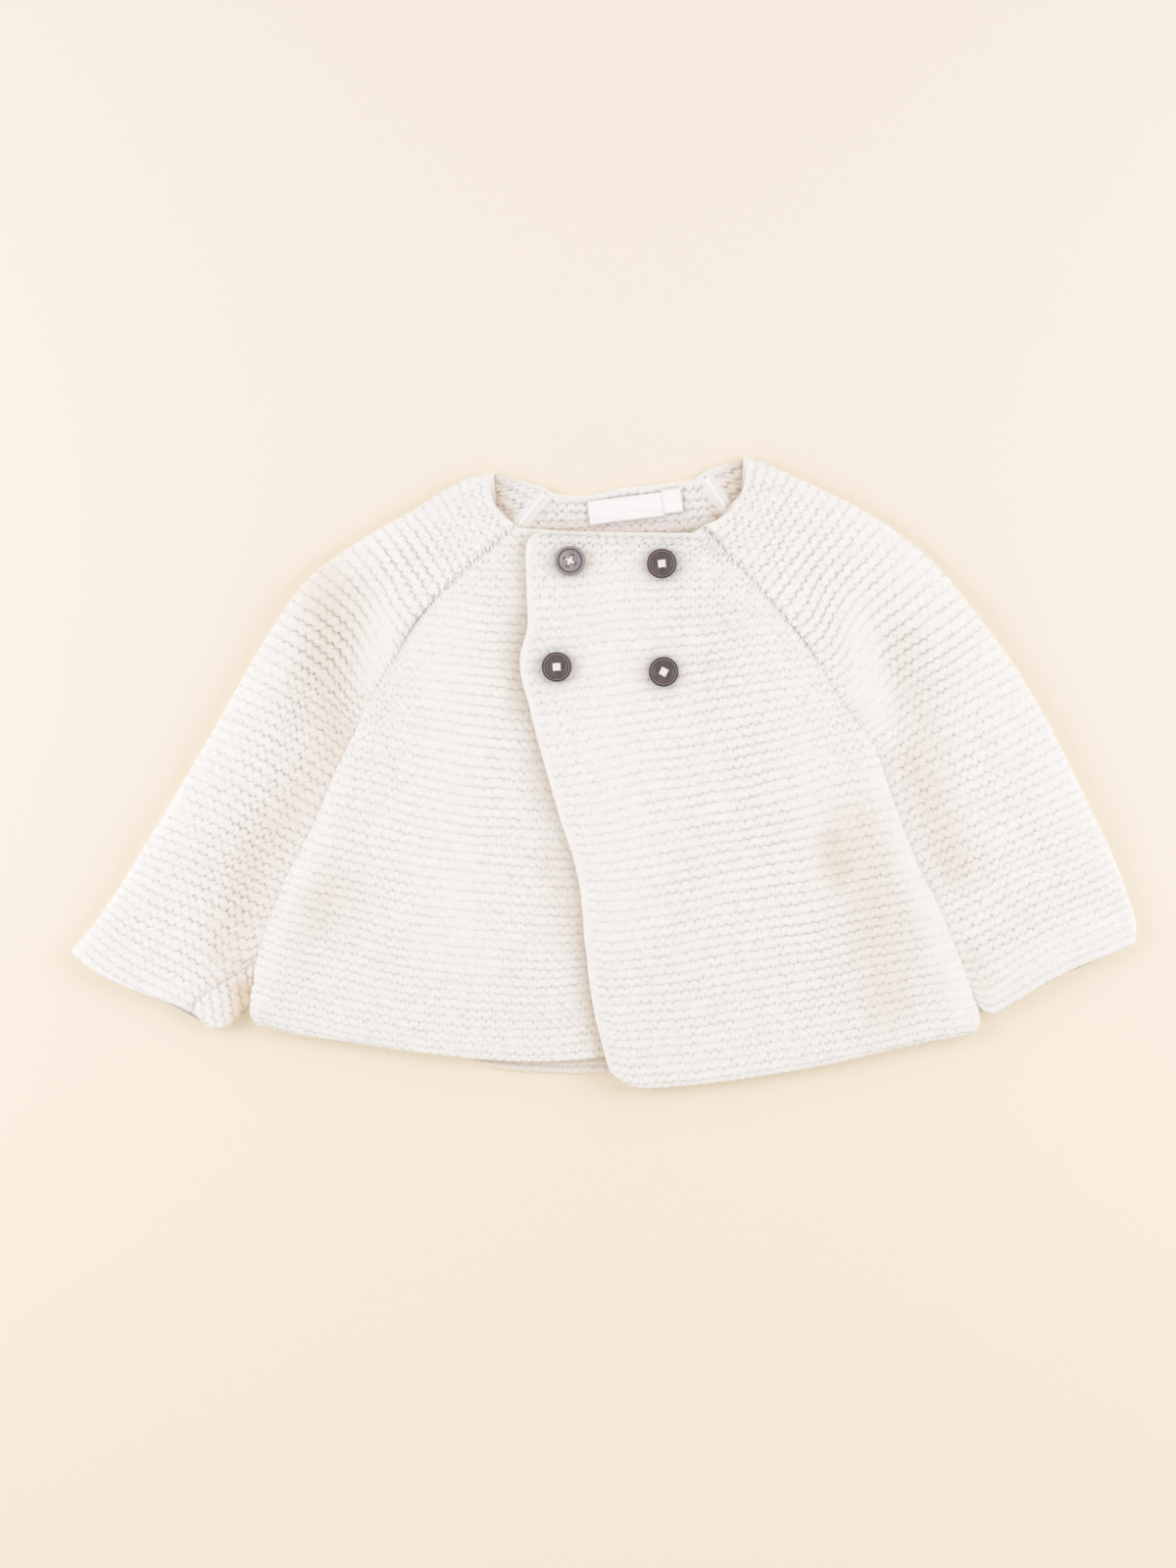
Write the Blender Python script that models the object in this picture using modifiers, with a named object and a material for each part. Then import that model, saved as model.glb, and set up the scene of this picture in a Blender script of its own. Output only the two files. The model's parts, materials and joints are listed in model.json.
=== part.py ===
"""A baby cardigan in garter-stitch knit, lying flat on its back with its double-breasted front closed.

Lengths are in millimetres and become metres when a mesh is made. +Z is up, +Y points to the neck and +X to
the wearer's left. The origin is on the surface that the cardigan lies on, under the middle of its bounding box.

The garment is five knitted panels: a back, two fronts and two raglan sleeves. Each panel is a grid of points
on the middle of its cloth, worked out from the tables of its edges, and Solidify gives it its thickness. A
panel's rows of points follow its rows of knitting.
"""

import math
from typing import NamedTuple

import bmesh
import bpy
import numpy as np

MM = 0.001

# ---------------------------------------------------------------- driving sizes

WALL = 2.6  # thickness of the knitted cloth
SEAM_GAP = 0.35  # between pieces that are sewn together
LAYER_GAP = 0.4  # between layers that lie on each other
LOFT = 0.6  # how much more the soft front layer stands off the back
OVERLAP_REACH = 3.0  # how far past the lower front's edge the upper front stays raised
OVERLAP_RAMP = 14.0  # width over which it then comes down
UNDERARM_DIP = (5.0, 34.0)  # the raglan seams dip between these distances from the underarm
EDGE_TAIL = 0.4  # the straight last bit of cloth at an edge
EDGE_PROBE = 3.0  # how far inside an edge the height of its layer is read
FOLD_PROBE = 5.0  # the same, at a sleeve's outer fold
FOLD_SETTLING = 4.0  # how sharply a hollow flattens out where it would touch the layer below, in 1/mm

BUTTON_DIAMETER = 12.7
BUTTON_THICKNESS = 2.8
BUTTON_HOLE_RADIUS = 0.85
BUTTON_HOLE_SPACING = 3.4  # between the centres of neighbouring holes
BUTTON_SEAT = 0.7  # share of a button's radius that rests on the cloth
# Half a button's section, from the middle of its top to that of its underside.
# radius (as a share of the button's), height (as a share of its thickness)
BUTTON_PROFILE = [(0, 0.62), (0.56, 0.62), (0.68, 0.78), (0.78, 1), (0.9, 0.98), (1, 0.72), (0.98, 0.34),
                  (0.72, 0), (0, 0)]
RIBBON_THICKNESS = 0.6

BACK_MID = WALL / 2
FRONT_MID = BACK_MID + WALL + LAYER_GAP + LOFT
LAYER_RISE = WALL + LAYER_GAP

# ---------------------------------------------------------------- edge tables, x and y

# From the neck down. "Right" is the wearer's right, at -X.
RIGHT_RAGLAN = [(-37, 106), (-51, 93.5), (-65, 81), (-78.5, 66.5), (-90, 52), (-99, 36), (-106, 18)]
RIGHT_SIDE = [(-106, 18), (-115.5, -1), (-124, -22), (-134.5, -43), (-144, -64), (-149, -83),
              (-151.5, -99), (-150.5, -105), (-147, -108.5)]
RIGHT_BACK_RAGLAN = [(-23, 121), (-64, 71), (-106, 18)]

LEFT_RAGLAN = [(42.5, 105), (60, 86.5), (78, 66.5), (94, 46), (108, 27), (117, 12)]
LEFT_SIDE = [(117, 12), (122, -5), (128, -22), (134.5, -39), (143, -56), (151, -74.5), (157, -89),
             (161.5, -104), (160.5, -109.5), (156.5, -112.5)]
LEFT_BACK_RAGLAN = [(42.5, 128), (80, 71), (117, 12)]

# The front edges, where the fronts cross each other. The left front lies on the right one.
LEFT_FRONT_OPENING = [(-26, 103), (-31, 100.5), (-33, 94.5), (-32.5, 74), (-32.3, 61.5), (-35.3, 49.5),
                      (-35, 40.5), (-31.5, 28), (-28.5, 16), (-20, -14), (-11.5, -42.5), (-7.5, -72),
                      (-4, -101), (2, -126), (6, -130.5)]
RIGHT_FRONT_OPENING = [(35.5, 100.5), (8, -122)]

# How far a hem hangs below the straight line between its corners, and a neck edge below its own.
# across (from the opening, or from the wearer's right, as a share), drop
LEFT_FRONT_HEM = [(0, 0), (0.03, 4.2), (0.09, 7.0), (0.2, 7.6), (0.31, 7.8), (0.48, 6.8), (0.62, 5.5),
                  (0.76, 3.1), (0.9, 0.9), (1, 0)]
RIGHT_FRONT_HEM = [(0, 0), (0.1, 3.2), (0.2, 6.0), (0.31, 7.6), (0.45, 8.0), (0.6, 7.0), (0.77, 4.4),
                   (0.88, 3.2), (0.95, 1.8), (1, 0)]
BACK_HEM = [(0, 0), (0.12, 5.0), (0.3, 13.0), (0.42, 18.6), (0.5, 19.8), (0.6, 19.0), (0.8, 9.0), (1, 0)]
BACK_NECK = [(0, 0), (0.15, 1.7), (0.3, 2.2), (0.5, 0.4), (0.75, 0.6), (1, 0)]

# The outer fold of each sleeve, from the neck to the cuff, and its underarm seam, from the underarm down.
RIGHT_SLEEVE_FOLD = [(-48, 128.7), (-59, 125.5), (-68, 121), (-80, 113.5), (-96.5, 104), (-111, 95),
                     (-122, 87), (-130, 79), (-136, 70.5), (-147, 53.5), (-166, 20), (-180, -4), (-195, -29),
                     (-206, -47), (-218, -64), (-228.9, -77)]
RIGHT_SLEEVE_SEAM = [(-106.5, 18), (-117, -2), (-125.7, -23), (-136.2, -44), (-145.8, -65), (-151, -84),
                     (-153.5, -98)]
LEFT_SLEEVE_FOLD = [(61.5, 135.4), (69, 133), (78, 129), (94.5, 121.5), (111, 113), (128, 102),
                    (145, 87), (161.5, 66.5), (178.5, 43), (195, 14), (208, -13), (220, -38.5), (228.3, -62),
                    (228.6, -73)]
LEFT_SLEEVE_SEAM = [(117.5, 12), (123.7, -5.5), (129.7, -23), (136.2, -40), (144.8, -57), (152.8, -75.5),
                    (158.5, -89), (163, -99)]

# How far each cuff hangs below the straight line from its outer fold to its seam.
# across (from the fold), drop
RIGHT_CUFF = [(0, 0), (0.16, 5.8), (0.38, 9.2), (0.62, 10.6), (0.7, 12.4), (0.78, 16.0), (0.9, 11.4), (1, 0)]
LEFT_CUFF = [(0, 0), (0.12, 1.0), (0.38, 0.9), (0.62, 3.1), (0.75, 5.1), (0.88, 6.6), (0.95, 4.2), (1, 0)]

NECK_HOLLOW = {"right": 4.2, "left": 6.6}  # how far each sleeve's front neck edge is hollowed
CAP_SHARE = 0.5  # the share of every panel's rows that lies above the underarm

# How fast the shape of an end fades into the rows next to it.
HEM_FADE_POWER = 1.6
BACK_NECK_FADE_POWER = 4
SLEEVE_NECK_FADE_POWER = 12
CUFF_FADE_FROM = 0.8  # share of the rows


class Fold(NamedTuple):
    """A soft ridge or hollow of the top layer, from (x0, y0) to (x1, y1), fading out over its width."""

    panels: str
    x0: float
    y0: float
    x1: float
    y1: float
    width: float
    height: float


FOLDS = [
    Fold("body", -99, 22, -126, -46, 8, 1.8),
    Fold("body", -126, -46, -143, -98, 8, 1.8),
    Fold("body", 112, 8, 134, -56, 8, 1.8),
    Fold("body", 134, -56, 152, -102, 8, 1.8),
    Fold("body", 72, 34, 80, -14, 12, 0.6),
    Fold("body", 97, -34, 101, -60, 8, -1.5),
    Fold("body", 101, -60, 126, -98, 8, -0.6),
    Fold("body", -94, -44, -108, -74, 9, -0.6),
    Fold("sleeves", -82, 100, -120, 68, 15, 1.6),
    Fold("sleeves", -120, 68, -186, -34, 15, 1.8),
    Fold("sleeves", -186, -34, -212, -74, 13, 1.4),
    Fold("sleeves", -116, 62, -120, 34, 9, -1.2),
    Fold("sleeves", -120, 34, -152, -60, 9, -1.0),
    Fold("both", -82, 72, -102, 38, 9, 1.0),
    Fold("sleeves", 96, 106, 150, 60, 15, 1.4),
    Fold("sleeves", 150, 60, 204, -28, 15, 1.7),
    Fold("sleeves", 123, 36, 130, 0, 9, -1.0),
    Fold("sleeves", 130, 0, 158, -78, 9, -1.0),
    Fold("both", 90, 64, 112, 28, 9, 1.1),
    Fold("sleeves", 204, -48, 167, -86, 5, -1.3),
    Fold("sleeves", 214, -66, 180, -88, 6, 0.6),
    Fold("sleeves", -177, -99, -150, -80, 4, -1.4),
]


class Button(NamedTuple):
    """A button by the middle of its underside, and the turn of its holes in degrees."""

    name: str
    x: float
    y: float
    turn: float


BUTTONS = [
    Button("button_upper_right", -14.0, 90.0, 20),
    Button("button_upper_left", 25.2, 88.8, 50),
    Button("button_lower_right", -19.7, 44.7, 5),
    Button("button_lower_left", 26.0, 42.6, 65),
]


class Ribbon(NamedTuple):
    """A piece of ribbon sewn to the inside of the back, by its middle."""

    name: str
    x: float
    y: float
    length: float
    width: float


RIBBONS = [Ribbon("label", 10.2, 111.9, 33.0, 10.6), Ribbon("size_tab", 31.0, 114.5, 7.8, 10.6)]
RIBBON_TURN = 7.1  # degrees, as the neck edge runs

# ---------------------------------------------------------------- mesh density

BODY_ROWS = 27
SLEEVE_ROWS = 27
FRONT_COLUMNS = {"right": 14, "left": 20}
BACK_COLUMNS = 15
SLEEVE_FRONT_COLUMNS = 12
SLEEVE_BACK_COLUMNS = 5
EDGE_ROLL_STEPS = 3
CORNER_ROWS = 2  # rows at the hem where the outline turns its corner
FOLD_ROLL_STEPS = 6
BUTTON_STEPS = 24
BUTTON_HOLE_SIDES = 8

# ---------------------------------------------------------------- finishes

CREAM = (0.86, 0.82, 0.77, 1)
WHITE = (0.92, 0.92, 0.90, 1)
GREY_BROWN = (0.075, 0.062, 0.060, 1)


# ---------------------------------------------------------------- curves and heights


def smoothstep(low, high, value):
    t = np.clip((np.asarray(value, float) - low) / (high - low), 0, 1)
    return t * t * (3 - 2 * t)


def smooth_line(points, steps=24):
    """The points joined by a Catmull-Rom curve, as a dense polyline."""
    p = np.array(points, float)
    if len(p) == 2:
        return p
    p = np.vstack([2 * p[0] - p[1], p, 2 * p[-1] - p[-2]])
    t = np.linspace(0, 1, steps, endpoint=False)[:, None]
    spans = []
    for a, b, c, d in zip(p, p[1:], p[2:], p[3:]):
        spans.append(0.5 * (2 * b + (c - a) * t + (2 * a - 5 * b + 4 * c - d) * t**2
                            + (3 * b - a - 3 * c + d) * t**3))
    return np.vstack([*spans, p[-2:-1]])


def along(points, shares):
    """The places at these shares of the curve's length."""
    line = smooth_line(points)
    reach = np.concatenate([[0], np.cumsum(np.linalg.norm(np.diff(line, axis=0), axis=1))])
    at = np.asarray(shares, float) * reach[-1]
    return np.stack([np.interp(at, reach, line[:, k]) for k in range(2)], axis=-1)


def drop_at(table, across):
    """A hem's or cuff's drop, read from its table."""
    rows = np.array(table, float)
    line = smooth_line(rows)
    return np.interp(across, line[:, 0], line[:, 1])


def unit(v):
    return v / np.linalg.norm(v, axis=-1, keepdims=True)


def fold_lift(xy, panels):
    """How far the folds lift the top layer at each place."""
    lift = np.zeros(xy.shape[:-1])
    for fold in FOLDS:
        if fold.panels not in (panels, "both"):
            continue
        start = np.array([fold.x0, fold.y0])
        run = np.array([fold.x1, fold.y1]) - start
        share = np.clip(((xy - start) @ run) / (run @ run), 0, 1)
        away = np.linalg.norm(xy - start - share[..., None] * run, axis=-1)
        lift += fold.height * np.exp(-((away / fold.width) ** 2))
    return lift


def overlap_rise(xy):
    """How far the wearer's left pieces are raised by the right front that lies below them."""
    (top_x, top_y), (low_x, low_y) = RIGHT_FRONT_OPENING
    edge_x = top_x + (top_y - xy[..., 1]) / (top_y - low_y) * (low_x - top_x)
    beyond = xy[..., 0] - edge_x
    return LAYER_RISE * (1 - smoothstep(OVERLAP_REACH, OVERLAP_REACH + OVERLAP_RAMP, beyond))


def top_height(xy, panels, side):
    """Height of the middle of the top layer's cloth, which no hollow brings down into the layer below."""
    lift = fold_lift(xy, panels)
    settled = np.logaddexp(0, FOLD_SETTLING * (lift + LOFT)) / FOLD_SETTLING - LOFT
    return FRONT_MID + settled + (overlap_rise(xy) if side == "left" else 0)


# ---------------------------------------------------------------- panels as grids of points


def straight(start, end, count):
    """Rows of points from start to end, both given for each row."""
    return start[:, None] + (end - start)[:, None] * np.linspace(0, 1, count)[None, :, None]


def down_panel(upper, lower, shares):
    """A panel's outline past the underarm, by the share of its rows: the raglan and then its other seam."""
    above = along(upper, np.clip(shares / CAP_SHARE, 0, 1))
    below = along(lower, np.clip((shares - CAP_SHARE) / (1 - CAP_SHARE), 0, 1))
    return np.where((shares <= CAP_SHARE)[:, None], above, below)


def closing_angle(edge, underarm, shares):
    """How far an edge turns to meet its neighbour: a quarter turn at a side seam and none at a raglan, easing
    over the last of the raglan before the underarm."""
    easing = 1 - smoothstep(*UNDERARM_DIP, np.linalg.norm(edge - underarm, axis=1))
    return math.pi / 2 * np.where(shares < CAP_SHARE, easing, 1)


def square_to(edge, outward):
    """The direction square to an outline, towards outward. A hem corner keeps that of the side above it."""
    tangent = np.gradient(edge, axis=0)
    tangent[-CORNER_ROWS:] = tangent[-CORNER_ROWS - 1]
    square = unit(np.stack([-tangent[:, 1], tangent[:, 0]], axis=1))
    return square * np.sign((square * outward).sum(axis=1, keepdims=True))


def edge_roll(edge, outward, angle, height, face):
    """The columns of points by which a layer curls over to meet the other one halfway.

    face is 1 for the front layer and -1 for the back one, and outward points away from the panel. The cloth runs
    level, turns by the angle in an arc, and ends in a short straight tail.
    """
    outward = square_to(edge, outward)
    radius = (height - BACK_MID - SEAM_GAP) / 2 - EDGE_TAIL
    arc_inset = (WALL / 2 + radius) * np.sin(angle) + EDGE_TAIL * np.cos(angle)
    start = height if face > 0 else np.full_like(height, BACK_MID)
    columns = []
    for share in np.linspace(1, 0, EDGE_ROLL_STEPS + 1):
        back_along = share * radius * math.pi / 2
        turned = np.maximum(angle - back_along / radius, 0)
        level = np.maximum(back_along - angle * radius, 0)
        inset = arc_inset - radius * np.sin(turned) + level
        z = start - face * radius * (1 - np.cos(turned))
        columns.append(np.concatenate([edge - outward * inset[:, None], z[:, None]], axis=1))
    inset = WALL / 2 * np.sin(angle)
    z = start - face * (radius * (1 - np.cos(angle)) + EDGE_TAIL * np.sin(angle))
    columns.append(np.concatenate([edge - outward * inset[:, None], z[:, None]], axis=1))
    return np.stack(columns, axis=1)


def front_grid(side):
    """A front, from its opening to its raglan and side."""
    raglan, seam, opening, hem = {
        "right": (RIGHT_RAGLAN, RIGHT_SIDE, RIGHT_FRONT_OPENING, RIGHT_FRONT_HEM),
        "left": (LEFT_RAGLAN, LEFT_SIDE, LEFT_FRONT_OPENING, LEFT_FRONT_HEM),
    }[side]
    shares = np.linspace(0, 1, BODY_ROWS)
    edge = down_panel(raglan, seam, shares)
    opened = along(opening, shares)
    outward = unit(edge - opened)
    angle = closing_angle(edge, np.array(raglan[-1]), shares)
    roll = edge_roll(edge, outward, angle, top_height(edge - EDGE_PROBE * outward, "body", side), face=1)
    flat = straight(opened, roll[:, 0, :2], FRONT_COLUMNS[side])
    across = np.linspace(0, 1, FRONT_COLUMNS[side])
    flat[..., 1] -= drop_at(hem, across)[None] * (shares**HEM_FADE_POWER)[:, None]
    z = top_height(flat, "body", side)
    z[:, -1] = roll[:, 0, 2]
    return np.concatenate([np.dstack([flat, z]), roll[:, 1:]], axis=1)


def back_grid():
    """The back, from the wearer's right side to the left one."""
    shares = np.linspace(0, 1, BODY_ROWS)
    right = down_panel(RIGHT_BACK_RAGLAN, RIGHT_SIDE, shares)
    left = down_panel(LEFT_BACK_RAGLAN, LEFT_SIDE, shares)
    across = unit(left - right)
    rolls = []
    for side, edge, outward in (("right", right, -across), ("left", left, across)):
        underarm = {"right": RIGHT_SIDE, "left": LEFT_SIDE}[side][0]
        angle = closing_angle(edge, np.array(underarm), shares)
        height = top_height(edge - EDGE_PROBE * outward, "body", side)
        rolls.append(edge_roll(edge, outward, angle, height, face=-1))
    right_roll, left_roll = rolls
    flat = straight(right_roll[:, 0, :2], left_roll[:, 0, :2], BACK_COLUMNS)
    share = np.linspace(0, 1, BACK_COLUMNS)
    flat[..., 1] -= drop_at(BACK_HEM, share)[None] * (shares**HEM_FADE_POWER)[:, None]
    flat[..., 1] -= drop_at(BACK_NECK, share)[None] * ((1 - shares) ** BACK_NECK_FADE_POWER)[:, None]
    flat = np.dstack([flat, np.full(flat.shape[:2], BACK_MID)])
    return np.concatenate([right_roll[:, :0:-1], flat, left_roll[:, 1:]], axis=1)


def sleeve_grid(side):
    """A sleeve, as one piece folded round its outer edge: its front layer, the fold, and its back layer."""
    raglan, back_raglan, seam, fold = {
        "right": (RIGHT_RAGLAN, RIGHT_BACK_RAGLAN, RIGHT_SLEEVE_SEAM, RIGHT_SLEEVE_FOLD),
        "left": (LEFT_RAGLAN, LEFT_BACK_RAGLAN, LEFT_SLEEVE_SEAM, LEFT_SLEEVE_FOLD),
    }[side]
    shares = np.linspace(0, 1, SLEEVE_ROWS)
    outer_edge = along(fold, shares)
    inner = down_panel(raglan, seam, shares)
    inner_back = down_panel(back_raglan, seam, shares)
    to_front, to_back = unit(inner - outer_edge), unit(inner_back - outer_edge)
    in_cap = (shares <= CAP_SHARE)[:, None]
    inner = inner - SEAM_GAP * square_to(inner, to_front) * in_cap
    inner_back = inner_back - SEAM_GAP * square_to(inner_back, to_back) * in_cap
    underarm = np.array(raglan[-1])
    height = top_height(inner - EDGE_PROBE * to_front, "sleeves", side)
    front_roll = edge_roll(inner, to_front, closing_angle(inner, underarm, shares), height, face=1)
    back_roll = edge_roll(inner_back, to_back, closing_angle(inner_back, underarm, shares), height, face=-1)

    radius = (top_height(outer_edge + FOLD_PROBE * to_front, "sleeves", side) - BACK_MID) / 2
    folded = []
    for turn in np.linspace(0, math.pi, FOLD_ROLL_STEPS + 1):
        toward = unit(to_front * (1 - turn / math.pi) + to_back * turn / math.pi)
        inset = WALL / 2 + radius * (1 - math.sin(turn))
        z = BACK_MID + radius * (1 + math.cos(turn))
        folded.append(np.concatenate([outer_edge + toward * inset[:, None], z[:, None]], axis=1))
    folded = np.stack(folded, axis=1)

    front = straight(front_roll[:, 0, :2], folded[:, 0, :2], SLEEVE_FRONT_COLUMNS)
    z = top_height(front, "sleeves", side)
    z[:, 0], z[:, -1] = front_roll[:, 0, 2], folded[:, 0, 2]
    under = straight(folded[:, -1, :2], back_roll[:, 0, :2], SLEEVE_BACK_COLUMNS)
    under = np.dstack([under, np.full(under.shape[:2], BACK_MID)])
    middle = np.concatenate(
        [front_roll[:, :0:-1], np.dstack([front, z]), folded[:, 1:-1], under, back_roll[:, 1:]], axis=1
    )
    shape_sleeve_ends(middle, inner, outer_edge, shares, side)
    return middle


def shape_sleeve_ends(middle, inner, outer_edge, shares, side):
    """Hollows the front layer's neck edge and drops the cuff of a sleeve, fading into the rows next to them."""
    span = inner - outer_edge
    across = ((middle[..., :2] - outer_edge[:, None]) * span[:, None]).sum(-1) / (span**2).sum(-1)[:, None]
    across = np.clip(across, 0, 1)
    on_top = smoothstep(BACK_MID, FRONT_MID, middle[..., 2])
    to_neck = unit(np.stack([-span[:, 1], span[:, 0]], axis=1)) * (1 if side == "right" else -1)
    hollow = NECK_HOLLOW[side] * np.sin(math.pi * across) * on_top
    hollow *= ((1 - shares) ** SLEEVE_NECK_FADE_POWER)[:, None]
    middle[..., :2] -= to_neck[:, None] * hollow[..., None]
    cuff = {"right": RIGHT_CUFF, "left": LEFT_CUFF}[side]
    middle[..., 1] -= drop_at(cuff, across) * smoothstep(CUFF_FADE_FROM, 1, shares)[:, None]


# ---------------------------------------------------------------- Blender objects


def material(name, colour, roughness):
    made = bpy.data.materials.new(name)
    made.use_nodes = True
    shader = made.node_tree.nodes["Principled BSDF"]
    shader.inputs["Base Color"].default_value = colour
    shader.inputs["Roughness"].default_value = roughness
    return made


def mesh_object(name, mesh, finish, collection):
    """Turns a bmesh into an object with one material."""
    data = bpy.data.meshes.new(name)
    mesh.to_mesh(data)
    mesh.free()
    if finish:
        data.materials.append(finish)
        data.shade_smooth()
    made = bpy.data.objects.new(name, data)
    collection.objects.link(made)
    return made


def cloth_object(name, grid, thickness, finish, collection):
    """A sheet through a grid of points, given its thickness by Solidify."""
    rows, columns = grid.shape[:2]
    mesh = bmesh.new()
    points = [[mesh.verts.new(p * MM) for p in row] for row in grid]
    for i in range(rows - 1):
        for j in range(columns - 1):
            mesh.faces.new((points[i][j], points[i + 1][j], points[i + 1][j + 1], points[i][j + 1]))
    made = mesh_object(name, mesh, finish, collection)
    wall = made.modifiers.new("wall", "SOLIDIFY")
    wall.thickness = thickness * MM
    wall.offset = 0
    wall.use_even_offset = True


def ribbon_grid(ribbon):
    """A ribbon on the inside of the back, level with the cloth below it."""
    turn = math.radians(RIBBON_TURN)
    run = ribbon.length / 2 * np.array([math.cos(turn), math.sin(turn), 0])
    rise = ribbon.width / 2 * np.array([-math.sin(turn), math.cos(turn), 0])
    middle = np.array([ribbon.x, ribbon.y, WALL + SEAM_GAP + RIBBON_THICKNESS / 2])
    return np.array([[middle + across * run + up * rise for across in (-1, 0, 1)] for up in (1, 0, -1)])


def button_object(name, finish, collection):
    """A four-hole button: a turned disc with a raised rim and a dished middle."""
    radius, thick = BUTTON_DIAMETER / 2, BUTTON_THICKNESS
    mesh = bmesh.new()
    points = [mesh.verts.new((r * radius * MM, 0, z * thick * MM)) for r, z in BUTTON_PROFILE]
    for pair in zip(points, points[1:]):
        mesh.edges.new(pair)
    made = mesh_object(name, mesh, finish, collection)
    turned = made.modifiers.new("turned", "SCREW")
    turned.steps = turned.render_steps = BUTTON_STEPS
    turned.use_merge_vertices = True
    turned.merge_threshold = 0.00001
    return made


def hole_cutter(name, collection):
    """Four round rods in one mesh, at the places of a button's thread holes."""
    mesh = bmesh.new()
    for sx in (-1, 1):
        for sy in (-1, 1):
            rod = bmesh.ops.create_cone(
                mesh, cap_ends=True, segments=BUTTON_HOLE_SIDES, radius1=BUTTON_HOLE_RADIUS * MM,
                radius2=BUTTON_HOLE_RADIUS * MM, depth=3 * BUTTON_THICKNESS * MM,
            )
            shift = (sx * BUTTON_HOLE_SPACING / 2 * MM, sy * BUTTON_HOLE_SPACING / 2 * MM, 0)
            bmesh.ops.translate(mesh, verts=rod["verts"], vec=shift)
    made = mesh_object(name, mesh, None, collection)
    made.hide_render = True
    made.display_type = "WIRE"
    return made


def seat_height(x, y):
    """Where a button's underside lies: a seam gap above the highest cloth under it."""
    reach = BUTTON_SEAT * BUTTON_DIAMETER / 2
    turns = np.linspace(0, 2 * math.pi, BUTTON_STEPS)
    around = np.stack([x + reach * np.cos(turns), y + reach * np.sin(turns)], axis=1)
    return top_height(around, "body", "left").max() + WALL / 2 + SEAM_GAP


def add_buttons(finish, collection, cutters):
    for button in BUTTONS:
        made = button_object(button.name, finish, collection)
        made.location = (button.x * MM, button.y * MM, seat_height(button.x, button.y) * MM)
        made.rotation_euler = (0, 0, math.radians(button.turn))
        cutter = hole_cutter(f"{button.name}_holes", cutters)
        cutter.parent = made
        holes = made.modifiers.new("holes", "BOOLEAN")
        holes.operation = "DIFFERENCE"
        holes.object = cutter


def new_collection(name):
    made = bpy.data.collections.new(name)
    bpy.context.scene.collection.children.link(made)
    return made


def main():
    for leftover in list(bpy.data.objects):
        bpy.data.objects.remove(leftover)
    garment, cutters = new_collection("baby_cardigan"), new_collection("cutters")
    knit = material("knit_cream", CREAM, 0.95)
    tape = material("ribbon_white", WHITE, 0.6)
    horn = material("button_grey_brown", GREY_BROWN, 0.3)
    cloth_object("back", back_grid(), WALL, knit, garment)
    for side in ("right", "left"):
        cloth_object(f"front_{side}", front_grid(side), WALL, knit, garment)
        cloth_object(f"sleeve_{side}", sleeve_grid(side), WALL, knit, garment)
    for ribbon in RIBBONS:
        cloth_object(ribbon.name, ribbon_grid(ribbon), RIBBON_THICKNESS, tape, garment)
    add_buttons(horn, garment, cutters)


main()
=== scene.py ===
"""A baby cardigan in garter-stitch knit, lying flat on its back with its double-breasted front closed.

Lengths are in millimetres until a mesh is made, which is in metres. +Z is up, +Y points to the neck and +X to
the wearer's left. Each panel is a shell on the middle of its cloth: its shown face follows the yarn, stitch by
stitch, and its hidden face is plain.
"""

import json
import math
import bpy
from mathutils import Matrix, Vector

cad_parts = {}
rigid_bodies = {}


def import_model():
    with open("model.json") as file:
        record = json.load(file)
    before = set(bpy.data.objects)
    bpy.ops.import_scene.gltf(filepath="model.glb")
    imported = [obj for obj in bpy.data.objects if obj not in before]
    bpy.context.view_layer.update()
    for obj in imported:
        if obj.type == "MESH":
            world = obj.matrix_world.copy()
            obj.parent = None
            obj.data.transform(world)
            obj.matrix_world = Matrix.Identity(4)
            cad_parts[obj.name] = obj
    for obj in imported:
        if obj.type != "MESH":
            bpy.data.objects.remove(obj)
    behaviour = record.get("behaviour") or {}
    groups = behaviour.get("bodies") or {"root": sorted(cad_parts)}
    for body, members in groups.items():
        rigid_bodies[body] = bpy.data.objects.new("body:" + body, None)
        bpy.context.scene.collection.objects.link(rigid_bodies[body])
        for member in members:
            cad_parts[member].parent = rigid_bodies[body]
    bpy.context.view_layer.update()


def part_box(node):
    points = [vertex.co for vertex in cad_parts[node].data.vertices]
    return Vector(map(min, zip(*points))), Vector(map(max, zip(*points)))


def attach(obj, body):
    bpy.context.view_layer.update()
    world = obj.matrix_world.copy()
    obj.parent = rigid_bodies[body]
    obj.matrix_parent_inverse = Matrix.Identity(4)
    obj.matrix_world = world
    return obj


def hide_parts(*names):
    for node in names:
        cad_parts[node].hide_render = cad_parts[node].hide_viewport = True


bl_info = {
    "name": "Baby cardigan",
    "version": (1, 0, 0),
    "blender": (4, 5, 0),
    "location": "View3D > Sidebar > Cardigan",
    "description": "Knits, sews up and buttons a baby cardigan, and sets it on a pale floor",
    "category": "Object",
}

from typing import NamedTuple

import bmesh
import bpy
import numpy as np
from mathutils import Matrix, Vector

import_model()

MM = 0.001

# ---------------------------------------------------------------- sizes of the cloth

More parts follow.
